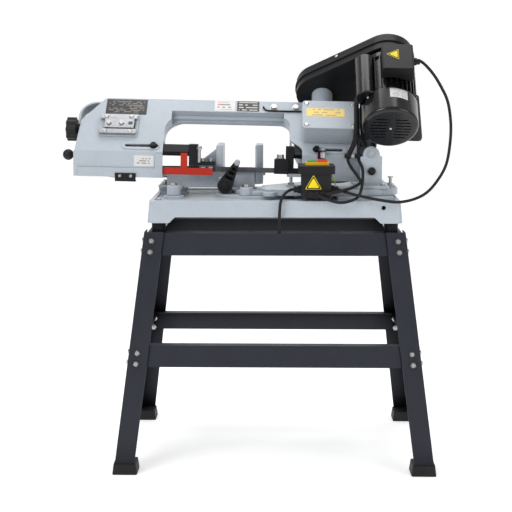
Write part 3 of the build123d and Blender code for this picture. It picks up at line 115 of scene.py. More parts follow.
class Shader:
    """A node material under construction: small methods add nodes and return their outputs."""

    def __init__(self, name):
        self.material = bpy.data.materials.new(name)
        self.material.use_nodes = True
        self.tree = self.material.node_tree
        self.surface = self.tree.nodes["Principled BSDF"]
        self.place = self.node("ShaderNodeTexCoord").outputs["Object"]

    def node(self, kind, **settings):
        made = self.tree.nodes.new(kind)
        for key, value in settings.items():
            setattr(made, key, value)
        return made

    def feed(self, socket, value):
        if isinstance(value, bpy.types.NodeSocket):
            self.tree.links.new(value, socket)
        else:
            socket.default_value = value

    def stretch(self, vector, scale):
        made = self.node("ShaderNodeMapping")
        self.feed(made.inputs["Vector"], vector)
        self.feed(made.inputs["Scale"], scale)
        return made.outputs["Vector"]

    def noise(self, scale, detail=3.0, roughness=0.55, vector=None):
        made = self.node("ShaderNodeTexNoise")
        self.feed(made.inputs["Vector"], vector or self.place)
        self.feed(made.inputs["Scale"], scale)
        self.feed(made.inputs["Detail"], detail)
        self.feed(made.inputs["Roughness"], roughness)
        return made.outputs["Fac"]

    def cells(self, scale):
        made = self.node("ShaderNodeTexVoronoi")
        self.feed(made.inputs["Vector"], self.place)
        self.feed(made.inputs["Scale"], scale)
        return made.outputs["Distance"]

    def span(self, value, low, high, bottom=0.0, top=1.0):
        """value between low and high, mapped to bottom and top."""
        made = self.node("ShaderNodeMapRange")
        for key, number in (("Value", value), ("From Min", low), ("From Max", high)):
            self.feed(made.inputs[key], number)
        self.feed(made.inputs["To Min"], bottom)
        self.feed(made.inputs["To Max"], top)
        return made.outputs["Result"]

    def calc(self, operation, a, b=0.0):
        made = self.node("ShaderNodeMath", operation=operation)
        self.feed(made.inputs[0], a)
        self.feed(made.inputs[1], b)
        return made.outputs["Value"]

    def times(self, a, b):
        return self.calc("MULTIPLY", a, b)

    def mix(self, factor, a, b):
        made = self.node("ShaderNodeMix", data_type="RGBA")
        self.feed(made.inputs["Factor"], factor)
        self.feed(made.inputs["A"], a)
        self.feed(made.inputs["B"], b)
        return made.outputs["Result"]

    def edge(self, radius):
        """1 on edges sharper than the radius, 0 on flats, broken up by noise; and the rounded normal."""
        bevel = self.node("ShaderNodeBevel", samples=4)
        self.feed(bevel.inputs["Radius"], radius * MM)
        plain = self.node("ShaderNodeNewGeometry").outputs["Normal"]
        dot = self.node("ShaderNodeVectorMath", operation="DOT_PRODUCT")
        self.feed(dot.inputs[0], bevel.outputs["Normal"])
        self.feed(dot.inputs[1], plain)
        turned = self.span(dot.outputs["Value"], 0.995, 0.90)
        patchy = self.span(self.noise(90, 4), 0.45, 0.62)
        return self.times(turned, patchy), bevel.outputs["Normal"]

    def bump(self, height, strength, depth, normal=None):
        made = self.node("ShaderNodeBump")
        self.feed(made.inputs["Height"], height)
        self.feed(made.inputs["Strength"], strength)
        self.feed(made.inputs["Distance"], depth * MM)
        if normal is not None:
            self.feed(made.inputs["Normal"], normal)
        self.feed(self.surface.inputs["Normal"], made.outputs["Normal"])

    def finish(self, colour, roughness, metallic=0.0, coat=0.0, specular=0.5):
        self.feed(self.surface.inputs["Base Color"], colour)
        self.feed(self.surface.inputs["Roughness"], roughness)
        self.feed(self.surface.inputs["Metallic"], metallic)
        self.feed(self.surface.inputs["Coat Weight"], coat)
        self.feed(self.surface.inputs["Coat Roughness"], 0.12)
        self.feed(self.surface.inputs["Specular IOR Level"], specular)
        return self.material


def shade(colour, factor):
    return tuple(min(1.0, value * factor) for value in colour[:3]) + (1.0,)


def paint(name, colour, roughness, grain, depth, coat=0.0, shadow=0.0):
    """Sprayed or baked paint: mottling, orange peel of a grain size in mm, worn edges and, with a shadow share
    above 0, painted shade in the corners, which also dims the specular there."""
    s = Shader(name)
    patches = s.noise(11, 4)
    fine = s.noise(1 / (3 * grain * MM), 2)
    base = s.mix(s.span(patches, 0.3, 0.7), shade(colour, 0.93), shade(colour, 1.07))
    base = s.mix(s.span(fine, 0.42, 0.72, 0.0, 0.35), base, shade(colour, 0.86))
    specular = 0.3
    if shadow:
        # Painted shade: ambient occlusion darkens the colour and the specular in corners and between parts.
        shade_ao = s.node("ShaderNodeAmbientOcclusion", samples=4)
        s.feed(shade_ao.inputs["Distance"], 90 * MM)
        base = s.mix(s.span(shade_ao.outputs["AO"], 0.35, 0.95, shadow, 0.0), base, shade(colour, 0.1))
        specular = s.span(shade_ao.outputs["AO"], 0.45, 0.95, 0.02, specular)
    worn, rounded = s.edge(0.8)
    base = s.mix(s.times(worn, 0.75), base, shade(colour, 1.6))
    peel = s.noise(1 / (grain * MM), 3, 0.5)
    s.bump(peel, 0.5, depth, rounded)
    smooth = s.span(patches, 0.25, 0.75, roughness - 0.05, roughness + 0.06)
    return s.finish(base, smooth, coat=coat, specular=specular)


def cast_paint(name, colour):
    """Enamel over a sand casting: pebbled skin, pits, painted shade in the hollows, paler rubbed edges."""
    s = Shader(name)
    patches, streaks = s.noise(7, 5), s.noise(34, 4, 0.65)
    skin = s.noise(330, 4, 0.6)
    pits = s.span(s.cells(210), 0.0, 0.32)
    base = s.mix(s.span(patches, 0.3, 0.7), shade(colour, 0.94), shade(colour, 1.05))
    base = s.mix(s.span(streaks, 0.5, 0.8, 0.0, 0.35), base, shade(colour, 0.84))
    base = s.mix(s.span(skin, 0.5, 0.7, 0.0, 0.45), base, shade(colour, 0.76))
    # Painted shade: ambient occlusion darkens the enamel colour in the hollows and between parts.
    shade_ao = s.node("ShaderNodeAmbientOcclusion", samples=4)
    s.feed(shade_ao.inputs["Distance"], 14 * MM)
    painted_hollow_shade = s.span(shade_ao.outputs["AO"], 0.35, 0.85, 0.55, 0.0)
    base = s.mix(painted_hollow_shade, base, shade(colour, 0.45))
    worn, rounded = s.edge(1.5)
    base = s.mix(s.times(worn, 0.6), base, shade(colour, 1.3))
    height = s.calc("ADD", skin, s.times(pits, 0.35))
    s.bump(height, 0.7, 0.34, rounded)
    return s.finish(base, s.span(streaks, 0.3, 0.75, 0.33, 0.46), coat=0.12)


def metal(name, colour, roughness, lines=(1, 1, 1), line_scale=900):
    """Bare or plated metal with fine machining lines that run along the axis with the smallest scale."""
    s = Shader(name)
    drawn = s.stretch(s.place, lines)
    grain = s.noise(line_scale, 3, 0.6, drawn)
    blotch = s.noise(45, 4)
    base = s.mix(s.span(grain, 0.3, 0.75), shade(colour, 1.12), shade(colour, 0.88))
    base = s.mix(s.span(blotch, 0.52, 0.8, 0.0, 0.6), base, shade(colour, 0.5))
    worn, rounded = s.edge(0.4)
    base = s.mix(worn, base, shade(colour, 1.3))
    s.bump(grain, 0.25, 0.08, rounded)
    return s.finish(base, s.span(blotch, 0.3, 0.7, roughness - 0.06, roughness + 0.12), metallic=1.0)


def moulded(name, colour, roughness, grain=0.5, depth=0.1):
    """Moulded plastic or rubber: a spark-eroded grain, faint flow marks and lighter rubbed edges."""
    s = Shader(name)
    grains, flow = s.noise(1 / (grain * MM), 2, 0.6), s.noise(24, 3)
    base = s.mix(s.span(flow, 0.3, 0.7), shade(colour, 0.85), shade(colour, 1.2))
    worn, rounded = s.edge(0.7)
    base = s.mix(s.times(worn, 0.5), base, shade(colour, 2.2))
    s.bump(grains, 0.5, depth, rounded)
    rough = s.span(grains, 0.3, 0.7, roughness - 0.06, roughness + 0.08)
    return s.finish(base, rough, specular=0.3)


def printed(name, ground, ink, rows, columns, share, seed, border=0.06, accent=None):
    """A printed plate: a margin round rows of plain bars of uneven length, which stand for no writing.

    The share is how much of the plate is marked. An accent inks the marks of one corner.
    """
    s = Shader(name)
    uv = s.node("ShaderNodeTexCoord").outputs["UV"]
    split = s.node("ShaderNodeSeparateXYZ")
    s.feed(split.inputs[0], uv)
    x, y = split.outputs["X"], split.outputs["Y"]
    lines = s.times(y, float(rows))
    row, within = s.calc("FLOOR", lines), s.calc("FRACT", lines)
    bar = s.times(s.span(within, 0.28, 0.32), s.span(within, 0.72, 0.68))
    column = s.calc("ADD", s.times(x, float(columns)), s.times(row, 0.37 + seed))
    cell = s.calc("FLOOR", column)
    mixed = s.node("ShaderNodeCombineXYZ")
    s.feed(mixed.inputs[0], s.times(cell, 1.7))
    s.feed(mixed.inputs[1], s.times(row, 2.9))
    s.feed(mixed.inputs[2], float(seed))
    chance = s.node("ShaderNodeTexWhiteNoise", noise_dimensions="3D")
    s.feed(chance.inputs["Vector"], mixed.outputs[0])
    there = s.span(chance.outputs["Value"], share - 0.01, share + 0.01, 1.0, 0.0)
    marks = s.times(bar, there)
    for value in (x, y):
        low = s.span(value, border, border + 0.01)
        high = s.span(value, 1 - border, 1 - border - 0.01)
        marks = s.times(marks, s.times(low, high))
    base = s.mix(marks, ground, ink)
    if accent:
        spot = s.times(s.span(x, 0.3, 0.29), s.span(y, 0.55, 0.56))
        base = s.mix(s.times(spot, marks), base, accent)
    base = s.mix(s.span(s.noise(60, 4), 0.5, 0.8, 0.0, 0.25), base, shade(ground, 0.8))
    s.bump(s.noise(500, 2), 0.15, 0.05)
    return s.finish(base, s.span(s.noise(25), 0.3, 0.7, 0.28, 0.42), coat=0.2)


CASTING = (0.455, 0.505, 0.56)
MATERIALS = {
    "casting_paint": cast_paint("casting_enamel", CASTING),
    # The stand's paint carries the full share of painted shade in its corners and gaps.
    "stand_paint": paint("stand_powder_coat", (0.021, 0.023, 0.033), 0.45, 0.9, 0.10, shadow=1.0),
    "black_paint": paint("satin_black_paint", (0.007, 0.007, 0.009), 0.42, 0.8, 0.08),
    "motor_black": paint("gloss_black_paint", (0.005, 0.005, 0.006), 0.26, 1.6, 0.10, coat=0.4),
    "black_plastic": moulded("black_plastic", (0.008, 0.008, 0.009), 0.42),
    "zinc": metal("zinc_plate", (0.56, 0.56, 0.56), 0.27),
    "ground_steel": metal("ground_steel", (0.44, 0.45, 0.47), 0.28, lines=(0.06, 1, 1)),
    "blade_steel": metal("blade_steel", (0.12, 0.12, 0.13), 0.36, lines=(0.03, 1, 1)),
    "iron": metal("machined_iron", (0.24, 0.24, 0.25), 0.42, line_scale=500),
    "bronze": metal("bronze", (0.66, 0.42, 0.20), 0.32),
    "rubber_black": moulded("black_rubber", (0.011, 0.011, 0.012), 0.60, grain=0.8),
    "guard_red": paint("red_enamel", (0.50, 0.026, 0.012), 0.33, 1.2, 0.06),
    "frame_yellow": moulded("yellow_plastic", (0.93, 0.50, 0.01), 0.34, depth=0.05),
    "button_green": moulded("green_plastic", (0.05, 0.34, 0.10), 0.30, depth=0.04),
    "button_red": moulded("red_plastic", (0.72, 0.07, 0.06), 0.30, depth=0.04),
}
GREY_TIP = moulded("grey_plastic", (0.36, 0.36, 0.36), 0.45)
HAZARD = moulded("warning_yellow", (0.95, 0.68, 0.01), 0.35, depth=0.03)
INK = moulded("print_black", (0.012, 0.012, 0.012), 0.45, depth=0.03)
EARTH = moulded("earth_wire", (0.55, 0.62, 0.03), 0.40, depth=0.03)
WHITE, BLACK = (0.70, 0.70, 0.69, 1), (0.012, 0.010, 0.009, 1)
AMBER, BROWN = (0.93, 0.66, 0.14, 1), (0.42, 0.33, 0.12, 1)
DARK_INK, GREY_INK = (0.10, 0.10, 0.10, 1), (0.35, 0.35, 0.36, 1)
SOFT_INK, RED_INK = (0.12, 0.12, 0.12, 1), (0.7, 0.02, 0.03, 1)
DIM_INK, PALE_INK = (0.26, 0.25, 0.22, 1), (0.55, 0.54, 0.52, 1)
DATA_PLATE = printed("data_plate_print", BLACK, DIM_INK, rows=9, columns=17, share=0.50, seed=3)
WHITE_LABEL = printed(
    "white_label_print", WHITE, DARK_INK, rows=4, columns=7, share=0.5, seed=5, border=0.14, accent=RED_INK
)
DARK_LABEL = printed(
    "dark_label_print", BLACK, PALE_INK, rows=4, columns=9, share=0.72, seed=8, border=0.08
)
SCALE_LABEL = printed(
    "scale_label_print", WHITE, SOFT_INK, rows=5, columns=12, share=0.40, seed=2, border=0.14
)
YELLOW_LABEL = printed(
    "yellow_label_print", AMBER, BROWN, rows=3, columns=14, share=0.6, seed=6, border=0.10
)
COWL_LABEL = printed("motor_label_print", WHITE, GREY_INK, rows=7, columns=12, share=0.5, seed=11)


def soften(node, width):
    """Rounds a CAD node's sharp edges with modifiers; its mesh stays as it is."""
    piece = frame["nodes"][node]
    weld = piece.modifiers.new("weld", "WELD")
    weld.merge_threshold = 0.002 * MM
    planar = piece.modifiers.new("planar", "DECIMATE")
    planar.decimate_type = "DISSOLVE"
    planar.angle_limit = math.radians(0.6)
    bevel = piece.modifiers.new("bevel", "BEVEL")
    bevel.width = width * MM
    bevel.segments = 2
    bevel.limit_method = "ANGLE"
    bevel.angle_limit = math.radians(38)
    bevel.use_clamp_overlap = False
    bevel.miter_outer = "MITER_ARC"
    normals = piece.modifiers.new("normals", "WEIGHTED_NORMAL")
    normals.weight = 60
    for face in piece.data.polygons:
        face.use_smooth = True


def smooth_by_angle(piece):
    """Smooth shading with hard breaks at sharp edges."""
    for face in piece.data.polygons:
        face.use_smooth = True
    split = piece.modifiers.new("split", "EDGE_SPLIT")
    split.split_angle = math.radians(32)


# The rounding of each casting's and block's edges, in mm.
ROUNDED = {
    "base_casting": 1.3, "vise_bed": 1.2, "fixed_jaw": 1.0, "movable_jaw": 1.0,
    "swivel_plate": 1.0, "pivot_bracket": 1.2, "switch_box": 0.6, "switch_frame": 0.4,
    "terminal_box": 0.5, "tension_gibs": 0.5, "tension_slide": 0.5, "left_guide_bar": 0.5,
    "right_guide_bar": 0.5, "left_guide_block": 0.6, "right_guide_block": 0.6, "lock_lever": 0.9,
}
SLOTS = {part["node"]: part["material_slot"] for part in frame["record"]["subparts"]}

for label, piece in frame["nodes"].items():
    piece.data.materials.clear()
    piece.data.materials.append(MATERIALS[SLOTS[label]])
    if label in ROUNDED:
        soften(label, ROUNDED[label])
    else:
        smooth_by_angle(piece)

# --- Mesh helpers ----------------------------------------------------------------------------


def from_bmesh(name, bm):
    bmesh.ops.recalc_face_normals(bm, faces=bm.faces)
    mesh = bpy.data.meshes.new(name)
    bm.to_mesh(mesh)
    bm.free()
    return mesh


def add_piece(name, bm, body, slot, material=None, smooth=True):
    """Adds a piece that rides on a body, if one is given, and takes its finish from a slot."""
    mesh = from_bmesh(name, bm)
    piece = bpy.data.objects.new(name, mesh)
    bpy.context.scene.collection.objects.link(piece)
    mesh.materials.append(material or MATERIALS[slot])
    for face in mesh.polygons:
        face.use_smooth = smooth
    if body:
        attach(piece, body)
    return piece


def skin_into(bm, rings):
    """Joins rings of equally many points with faces, and closes both ends."""
    for low, high in zip(rings, rings[1:]):
        for step in range(len(low)):
            following = (step + 1) % len(low)
            bm.faces.new((low[step], low[following], high[following], high[step]))
    bm.faces.new(reversed(rings[0]))
    bm.faces.new(rings[-1])


def lathe_into(bm, matrix, profile, sides=40):
    """Turns a closed profile of (radius, height) points, in mm, about the matrix's z."""
    rings = []
    for radius, height in profile:
        if radius < 1e-6:
            rings.append([bm.verts.new(matrix @ Vector((0, 0, height * MM)))])
            continue
        ring = []
        for step in range(sides):
            angle = 2 * math.pi * step / sides
            spot = Vector((radius * math.cos(angle), radius * math.sin(angle), height)) * MM
            ring.append(bm.verts.new(matrix @ spot))
        rings.append(ring)
    for low, high in zip(rings, rings[1:]):
        for step in range(max(len(low), len(high))):
            following = (step + 1) % sides
            if len(low) == 1:
                bm.faces.new((low[0], high[following], high[step]))
            elif len(high) == 1:
                bm.faces.new((low[step], low[following], high[0]))
            else:
                bm.faces.new((low[step], low[following], high[following], high[step]))


def hex_head_into(bm, matrix, across, height, washer=1.5):
    """A hexagon bolt head with a chamfered crown on a washer."""
    rim = across / 2 * 1.35
    soft = 0.3
    low_rim = [(0, 0), (rim - soft, 0), (rim, soft)]
    high_rim = [(rim, washer - soft), (rim - soft, washer), (0, washer)]
    lathe_into(bm, matrix, low_rim + high_rim)
    corner = across / math.sqrt(3)
    top = washer + height
    rings = []
    for scale, level in ((0.97, washer), (1, washer + soft), (1, top - 1), (0.86, top)):
        ring = []
        for step in range(6):
            angle = math.pi / 3 * step
            spot = Vector((corner * scale * math.cos(angle), corner * scale * math.sin(angle), level)) * MM
            ring.append(bm.verts.new(matrix @ spot))
        rings.append(ring)
    skin_into(bm, rings)


def dome_into(bm, matrix, radius, height, recess=True):
    """A domed screw head, with a round recess in its middle unless recess is False."""
    profile = [(0, 0), (radius, 0), (radius, height * 0.25)]
    for step in range(1, 5):
        angle = math.radians(90 - step * 17)
        profile.append((radius * math.sin(angle), height * (0.25 + 0.75 * math.cos(angle))))
    if recess:
        profile += [(radius * 0.34, height * 0.98), (radius * 0.30, height * 0.35), (0, height * 0.3)]
    else:
        profile.append((0, height))
    lathe_into(bm, matrix, profile, 24)


def corner_points(width, height, radius):
    """The outline of a rectangle with rounded corners, anticlockwise."""
    steps = 5
    points = []
    for sx, sy, start in ((1, 1, 0), (-1, 1, 90), (-1, -1, 180), (1, -1, 270)):
        for step in range(steps + 1):
            angle = math.radians(start + 90 * step / steps)
            x = sx * (width / 2 - radius) + radius * math.cos(angle)
            y = sy * (height / 2 - radius) + radius * math.sin(angle)
            points.append((x, y))
    return points


def plate(name, matrix, outline, thickness, body, slot, material, edge=0.15):
    """A thin plate with a softened rim; its UVs cover its own rectangle."""
    xs, ys = [p[0] for p in outline], [p[1] for p in outline]
    width, height = max(xs) - min(xs), max(ys) - min(ys)
    cx, cy = (max(xs) + min(xs)) / 2, (max(ys) + min(ys)) / 2
    bm = bmesh.new()
    rings = []
    for inset, level in ((0, 0), (0, thickness - edge), (edge, thickness)):
        ring = []
        for x, y in outline:
            shrink_x, shrink_y = 1 - 2 * inset / width, 1 - 2 * inset / height
            spot = Vector((cx + (x - cx) * shrink_x, cy + (y - cy) * shrink_y, level)) * MM
            ring.append(bm.verts.new(spot))
        rings.append(ring)
    skin_into(bm, rings)
    uv = bm.loops.layers.uv.new("UVMap")
    for face in bm.faces:
        for loop in face.loops:
            spot = loop.vert.co / MM
            loop[uv].uv = ((spot.x - min(xs)) / width, (spot.y - min(ys)) / height)
    bm.transform(matrix)
    add_piece(name, bm, body, slot, material, smooth=False)


def smooth_path(points, steps=10):
    """A Catmull-Rom path through the points."""
    padded = [points[0] * 2 - points[1]] + list(points) + [points[-1] * 2 - points[-2]]
    path = []
    for before, start, end, after in zip(padded, padded[1:], padded[2:], padded[3:]):
        for step in range(steps):
            t = step / steps
            path.append(
                0.5 * ((start * 2) + (end - before) * t + (before * 2 - start * 5 + end * 4 - after) * t * t
                       + (start * 3 - before - end * 3 + after) * t ** 3)
            )
    return path + [points[-1]]


def tube(name, points, radius, body, slot, material=None):
    """A round cable or rod along a smooth path, tapered and closed at its ends."""
    sides = 14
    path = smooth_path(points)
    bm = bmesh.new()
    normal = (path[1] - path[0]).orthogonal().normalized()
    rings = []
    last = len(path) - 1
    for index, spot in enumerate(path):
        way = (path[min(index + 1, last)] - path[max(index - 1, 0)]).normalized()
        normal = (normal - way * normal.dot(way)).normalized()
        side = way.cross(normal)
        thick = radius * (0.6 if index in (0, last) else 1) * MM
        rings.append([
            bm.verts.new(spot + (normal * math.cos(a) + side * math.sin(a)) * thick)
            for a in (2 * math.pi * step / sides for step in range(sides))
        ])
    skin_into(bm, rings)
    return add_piece(name, bm, body, slot, material)


# --- Plates and labels -----------------------------------------------------------------------


def slanted_seat(x, u, n):
    return seat(slanted(x, u, n), ALONG, WHEEL_OUT)


def label_on_panel(name, x_span, u_span, n, slot, material):
    outline = corner_points(x_span[1] - x_span[0], u_span[1] - u_span[0], LABEL_CORNER)
    matrix = slanted_seat(sum(x_span) / 2, sum(u_span) / 2, n)
    plate(name, matrix, outline, 0.5, "arm", slot, material)


PANEL_N, COVER_N = 48, 107.1  # the arm's front panel, and the gearbox cover's face
FRONT_Y = -26.5  # the arm's upright front
LABEL_CORNER = 1.5
label_on_panel("data_plate", (-429, -326), (132, 183), PANEL_N, "black_paint", DATA_PLATE)
label_on_panel("beam_label_white", (-156, -104), (151, 185.5), PANEL_N, "zinc", WHITE_LABEL)
label_on_panel("beam_label_dark", (-99, -43), (151.5, 186), PANEL_N, "black_paint", DARK_LABEL)
label_on_panel("gearbox_label", (74, 167), (85.5, 112), COVER_N, "frame_yellow", YELLOW_LABEL)
scale_seat = seat(upright(-321.5, FRONT_Y, 714.5), ALONG, FRONT)
plate("scale_label", scale_seat, corner_points(49, 27, 2), 0.4, "arm", "zinc", SCALE_LABEL)

MOTOR_X, MOTOR_N = 269, 164
COWL_RADIUS = 66.5
TERMINAL_N = 262  # the terminal box's face


def cowl_label(angles, u_span):
    """A label bent round the motor's cowl; angles run from the front towards +x."""
    bm = bmesh.new()
    uv = bm.loops.layers.uv.new("UVMap")
    across, high = 16, 6
    grid = []
    for i in range(across + 1):
        angle = math.radians(angles[0] + (angles[1] - angles[0]) * i / across)
        column = []
        for j in range(high + 1):
            u = u_span[0] + (u_span[1] - u_span[0]) * j / high
            for lift in (0.05, 0.45):
                r = COWL_RADIUS + lift
                x, n = MOTOR_X + r * math.sin(angle), MOTOR_N + r * math.cos(angle)
                column.append(bm.verts.new(slanted(x, u, n)))
        grid.append(column)
    places = {}
    for i, column in enumerate(grid):
        for k, vert in enumerate(column):
            places[vert] = (i / across, (k // 2) / high)
    for i in range(across):
        for j in range(high):
            for lift in (0, 1):
                corners = ((i, j), (i + 1, j), (i + 1, j + 1), (i, j + 1))
                bm.faces.new([grid[a][2 * b + lift] for a, b in corners])
        for k in (0, 2 * high):
            bm.faces.new((grid[i][k], grid[i + 1][k], grid[i + 1][k + 1], grid[i][k + 1]))
    for column in (grid[0], grid[across]):
        for k in range(0, 2 * high, 2):
            bm.faces.new((column[k], column[k + 2], column[k + 3], column[k + 1]))
    for face in bm.faces:
        for loop in face.loops:
            loop[uv].uv = places[loop.vert]
    add_piece("motor_label", bm, "arm", "zinc", COWL_LABEL)


cowl_label((-5, 33), (38, 66))


def triangle(side, soft):
    """An upright triangle with blunted corners."""
    reach = side / math.sqrt(3)
    points = []
    for corner in (90, 210, 330):
        for turn in (-40, 0, 40):
            way, nib = math.radians(corner), math.radians(corner + turn)
            x = (reach - 2 * soft) * math.cos(way) + soft * math.cos(nib)
            y = (reach - 2 * soft) * math.sin(way) + soft * math.sin(nib)
            points.append((x, y))
    return points


def warning_triangle(name, matrix, size, body):
    """A plain yellow triangle with a dark border: no symbol and no words."""
    layers = (
        ("", 1.0, 0, 0.3, 0.1, "frame_yellow", HAZARD),
        ("_line", 0.90, 0.3, 0.15, 0.05, "black_plastic", INK),
        ("_field", 0.70, 0.45, 0.15, 0.05, "frame_yellow", HAZARD),
    )
    for ending, scale, lift, thickness, edge, slot, material in layers:
        lifted = matrix.copy()
        lifted.translation = matrix.translation + matrix.col[2].to_3d() * lift * MM
        outline = triangle(size * scale, size * 0.05)
        plate(name + ending, lifted, outline, thickness, body, slot, material, edge)


warning_triangle("switch_mark", seat(standing(90.5, -155, 682.5), RIGHT, FRONT), 40, "swivel")
warning_triangle("terminal_mark", seat(slanted(275, 146, TERMINAL_N), WHEEL_UP, WHEEL_OUT), 34, "arm")

# --- Fasteners and caps ----------------------------------------------------------------------


def tension_bolts():
    bm = bmesh.new()
    for x in (-414, -383):
        hex_head_into(bm, slanted_seat(x, 91, 58.1), 11, 5.5, washer=1)
    add_piece("tension_bolts", bm, "tension_slide", "zinc", smooth=False)


def belt_guard_screws():
    """A screw in each long wall of the belt guard, square to the belt's way."""
    belt_way = (joint_point("motor_spin") - joint_point("worm_spin")).normalized()
    wall_out = belt_way.cross(WHEEL_UP)
    bm = bmesh.new()
    for x, n, way in ((145.8, 158.2, 1), (228.9, 57.4, -1)):
        dome_into(bm, seat(slanted(x, 241.4, n), WHEEL_UP, wall_out * way), 4.2, 2.6)
    add_piece("belt_guard_screws", bm, "arm", "zinc")


def cowl_screws():
    """A screw in the middle of the fan cowl's end, and four round its rim."""
    bm = bmesh.new()
    dome_into(bm, seat(slanted(MOTOR_X, -1, MOTOR_N), ALONG, -WHEEL_UP), 3.2, 1.8)
    for angle in (35, 145, 215, 325):
        x, n = COWL_RADIUS * math.cos(math.radians(angle)), COWL_RADIUS * math.sin(math.radians(angle))
        outward = ALONG * x + WHEEL_OUT * n
        dome_into(bm, seat(slanted(MOTOR_X + x, 61, MOTOR_N + n), WHEEL_UP, outward), 3.4, 2.2)
    add_piece("cowl_screws", bm, "arm", "zinc")


def guide_bolts():
    """A bolt over the right guide, and a stud with its nut beside the left guide."""
    bm = bmesh.new()
    hex_head_into(bm, seat(upright(13, -13, 728), ALONG, ARM_UP), 15, 8)
    stud = seat(upright(-186, -23, 714), ALONG, ARM_UP)
    lathe_into(bm, stud, [(0, 0), (4.0, 0), (4.0, 33), (0, 33)], 24)
    hex_head_into(bm, seat(upright(-186, -23, 746), ALONG, ARM_UP), 11, 6)
    add_piece("guide_bolts", bm, "arm", "zinc", smooth=False)


def pivot_cap():
    bm = bmesh.new()
    dome_into(bm, seat(standing(PIVOT_X, -53, PIVOT_Z), RIGHT, FRONT), 9.5, 5, recess=False)
    add_piece("pivot_cap", bm, "swivel", "black_plastic")


def lever_tip():
    """The grey cap at the end of the lock lever's grip."""
    bm = bmesh.new()
    profile = [(0, -24.5), (6.3, -24.5), (7.1, -23.7), (7.1, -0.4), (6.2, 0.6), (0, 0.6)]
    lathe_into(bm, seat(standing(-92, -48, 724), RIGHT, FRONT), profile)
    add_piece("lever_tip", bm, "lock_lever", "black_plastic", GREY_TIP)


tension_bolts()
belt_guard_screws()
cowl_screws()
guide_bolts()
pivot_cap()
lever_tip()

# --- Beam rod, clamp and cables --------------------------------------------------------------

ROD_N = PANEL_N + 2.2
MOTOR_CABLE_X, CONTROL_CABLE_X = 177, 202.5
CLAMP_Y, CLAMP_Z = -38, 741
tube(
    "beam_rod",
    [slanted(-33, 168, ROD_N), slanted(-31, 162, ROD_N), slanted(-25, 155.5, ROD_N),
     slanted(-12, 153.5, ROD_N), slanted(25, 153.5, ROD_N), slanted(64, 153.5, ROD_N)],
    2.1, "arm", "black_paint",
)
tube(
    "motor_conduit",
    [standing(205, 20, 880), standing(199, -12, 874), standing(197, -33, 850), standing(197, -40, 810),
     standing(193, -40, 775), standing(182, CLAMP_Y, 748), standing(MOTOR_CABLE_X, CLAMP_Y, 734)],
    6.0, "arm", "rubber_black",
)
CONTROL_RUN = ((18, 806), (-12, 803), (-33, 788), (CLAMP_Y, 765), (CLAMP_Y, 734))
tube(
    "control_conduit", [standing(CONTROL_CABLE_X, y, z) for y, z in CONTROL_RUN],
    4.0, "arm", "rubber_black",
)


def blended_tube(name, points, radius, replaced=()):
    """A cable between two bodies, on neither of them and fixed in shape; the CAD parts it replaces are hidden."""
    piece = tube(name, points, radius, None, "rubber_black")
    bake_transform(piece)
    if replaced:
        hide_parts(*replaced)


blended_tube(
    "switch_cable_left",
    [standing(MOTOR_CABLE_X, CLAMP_Y, 738), standing(178, -45, 728), standing(185, -60, 714),
     standing(198, -85, 696), standing(203, -108, 684), standing(188, -130, 675), standing(160, -150, 668),
     standing(130, -168, 663), standing(112, -158, 661)],
    3.6,
)
blended_tube(
    "switch_cable_right",
    [standing(CONTROL_CABLE_X, CLAMP_Y, 738), standing(205, -50, 728), standing(211, -68, 712),
     standing(210, -95, 692), standing(203, -130, 664), standing(188, -158, 649), standing(154, -170, 642),
     standing(122, -172, 650), standing(98, -158, 661)],
    3.6,
)
blended_tube(
    "motor_lead",
    [slanted(324, 140, 245), slanted(340, 140, 245), standing(371, -82, 940), standing(393, -88, 905),
     standing(408, -94, 870), standing(415, -100, 820), standing(413, -106, 770), standing(404, -112, 724),
     standing(383, -122, 688), standing(356, -140, 662), standing(322, -158, 648), standing(285, -168, 643),
     standing(250, -168, 647), standing(208, -166, 655), standing(170, -148, 663), standing(148, -122, 668)],
    3.5,
    replaced=("motor_cable",),
)
blended_tube(
    "power_lead",
    [standing(50, -122, 668), standing(38, -126, 667), standing(24, -142, 660), standing(15, -157, 645),
     standing(12, -161, 625), standing(11, -158, 600), standing(11, -151, 580), standing(11, -148, 558),
     standing(12, -146, 540)],
    3.5,
    replaced=("power_cable",),
)
tube(
    "earth_wire",
    [standing(137, -100, 700), standing(141, -104, 690), standing(144, -112, 676),
     standing(143, -118, 664), standing(138, -124, 656)],
    1.3, "swivel", "frame_yellow", EARTH,
)


def cable_clamps():
    """A ring round each cable, under the gearbox."""
    profile = [(4.5, -5), (7.4, -5), (8, -4), (8, 4), (7.4, 5), (4.5, 5), (4.5, -5)]
    bm = bmesh.new()
    for x in (MOTOR_CABLE_X, CONTROL_CABLE_X):
        lathe_into(bm, seat(standing(x, CLAMP_Y, CLAMP_Z), RIGHT, UP), profile, 32)
    add_piece("cable_clamps", bm, "arm", "black_plastic")


def clamp_screw():
    bm = bmesh.new()
    hex_head_into(bm, seat(standing(190, -30.5, CLAMP_Z), RIGHT, FRONT), 9, 4)
    add_piece("clamp_screw", bm, "arm", "zinc", smooth=False)


cable_clamps()
clamp_screw()

# --- Blade -----------------------------------------------------------------------------------

BLADE_HALF, BLADE_THICK = 6.5, 0.65
TOOTH, PITCH, TOOTH_SET = 1.5, 4.0, 0.12
WHEEL_LEAN = 45  # the wheels' slant from upright, in degrees
UPRIGHT_LIFT = 0.32  # brings the middle of the upright stretch back up to u = 0
TWIST_OUT, UPRIGHT_LEFT, UPRIGHT_RIGHT, TWIST_IN = -330, -198, 30, 100


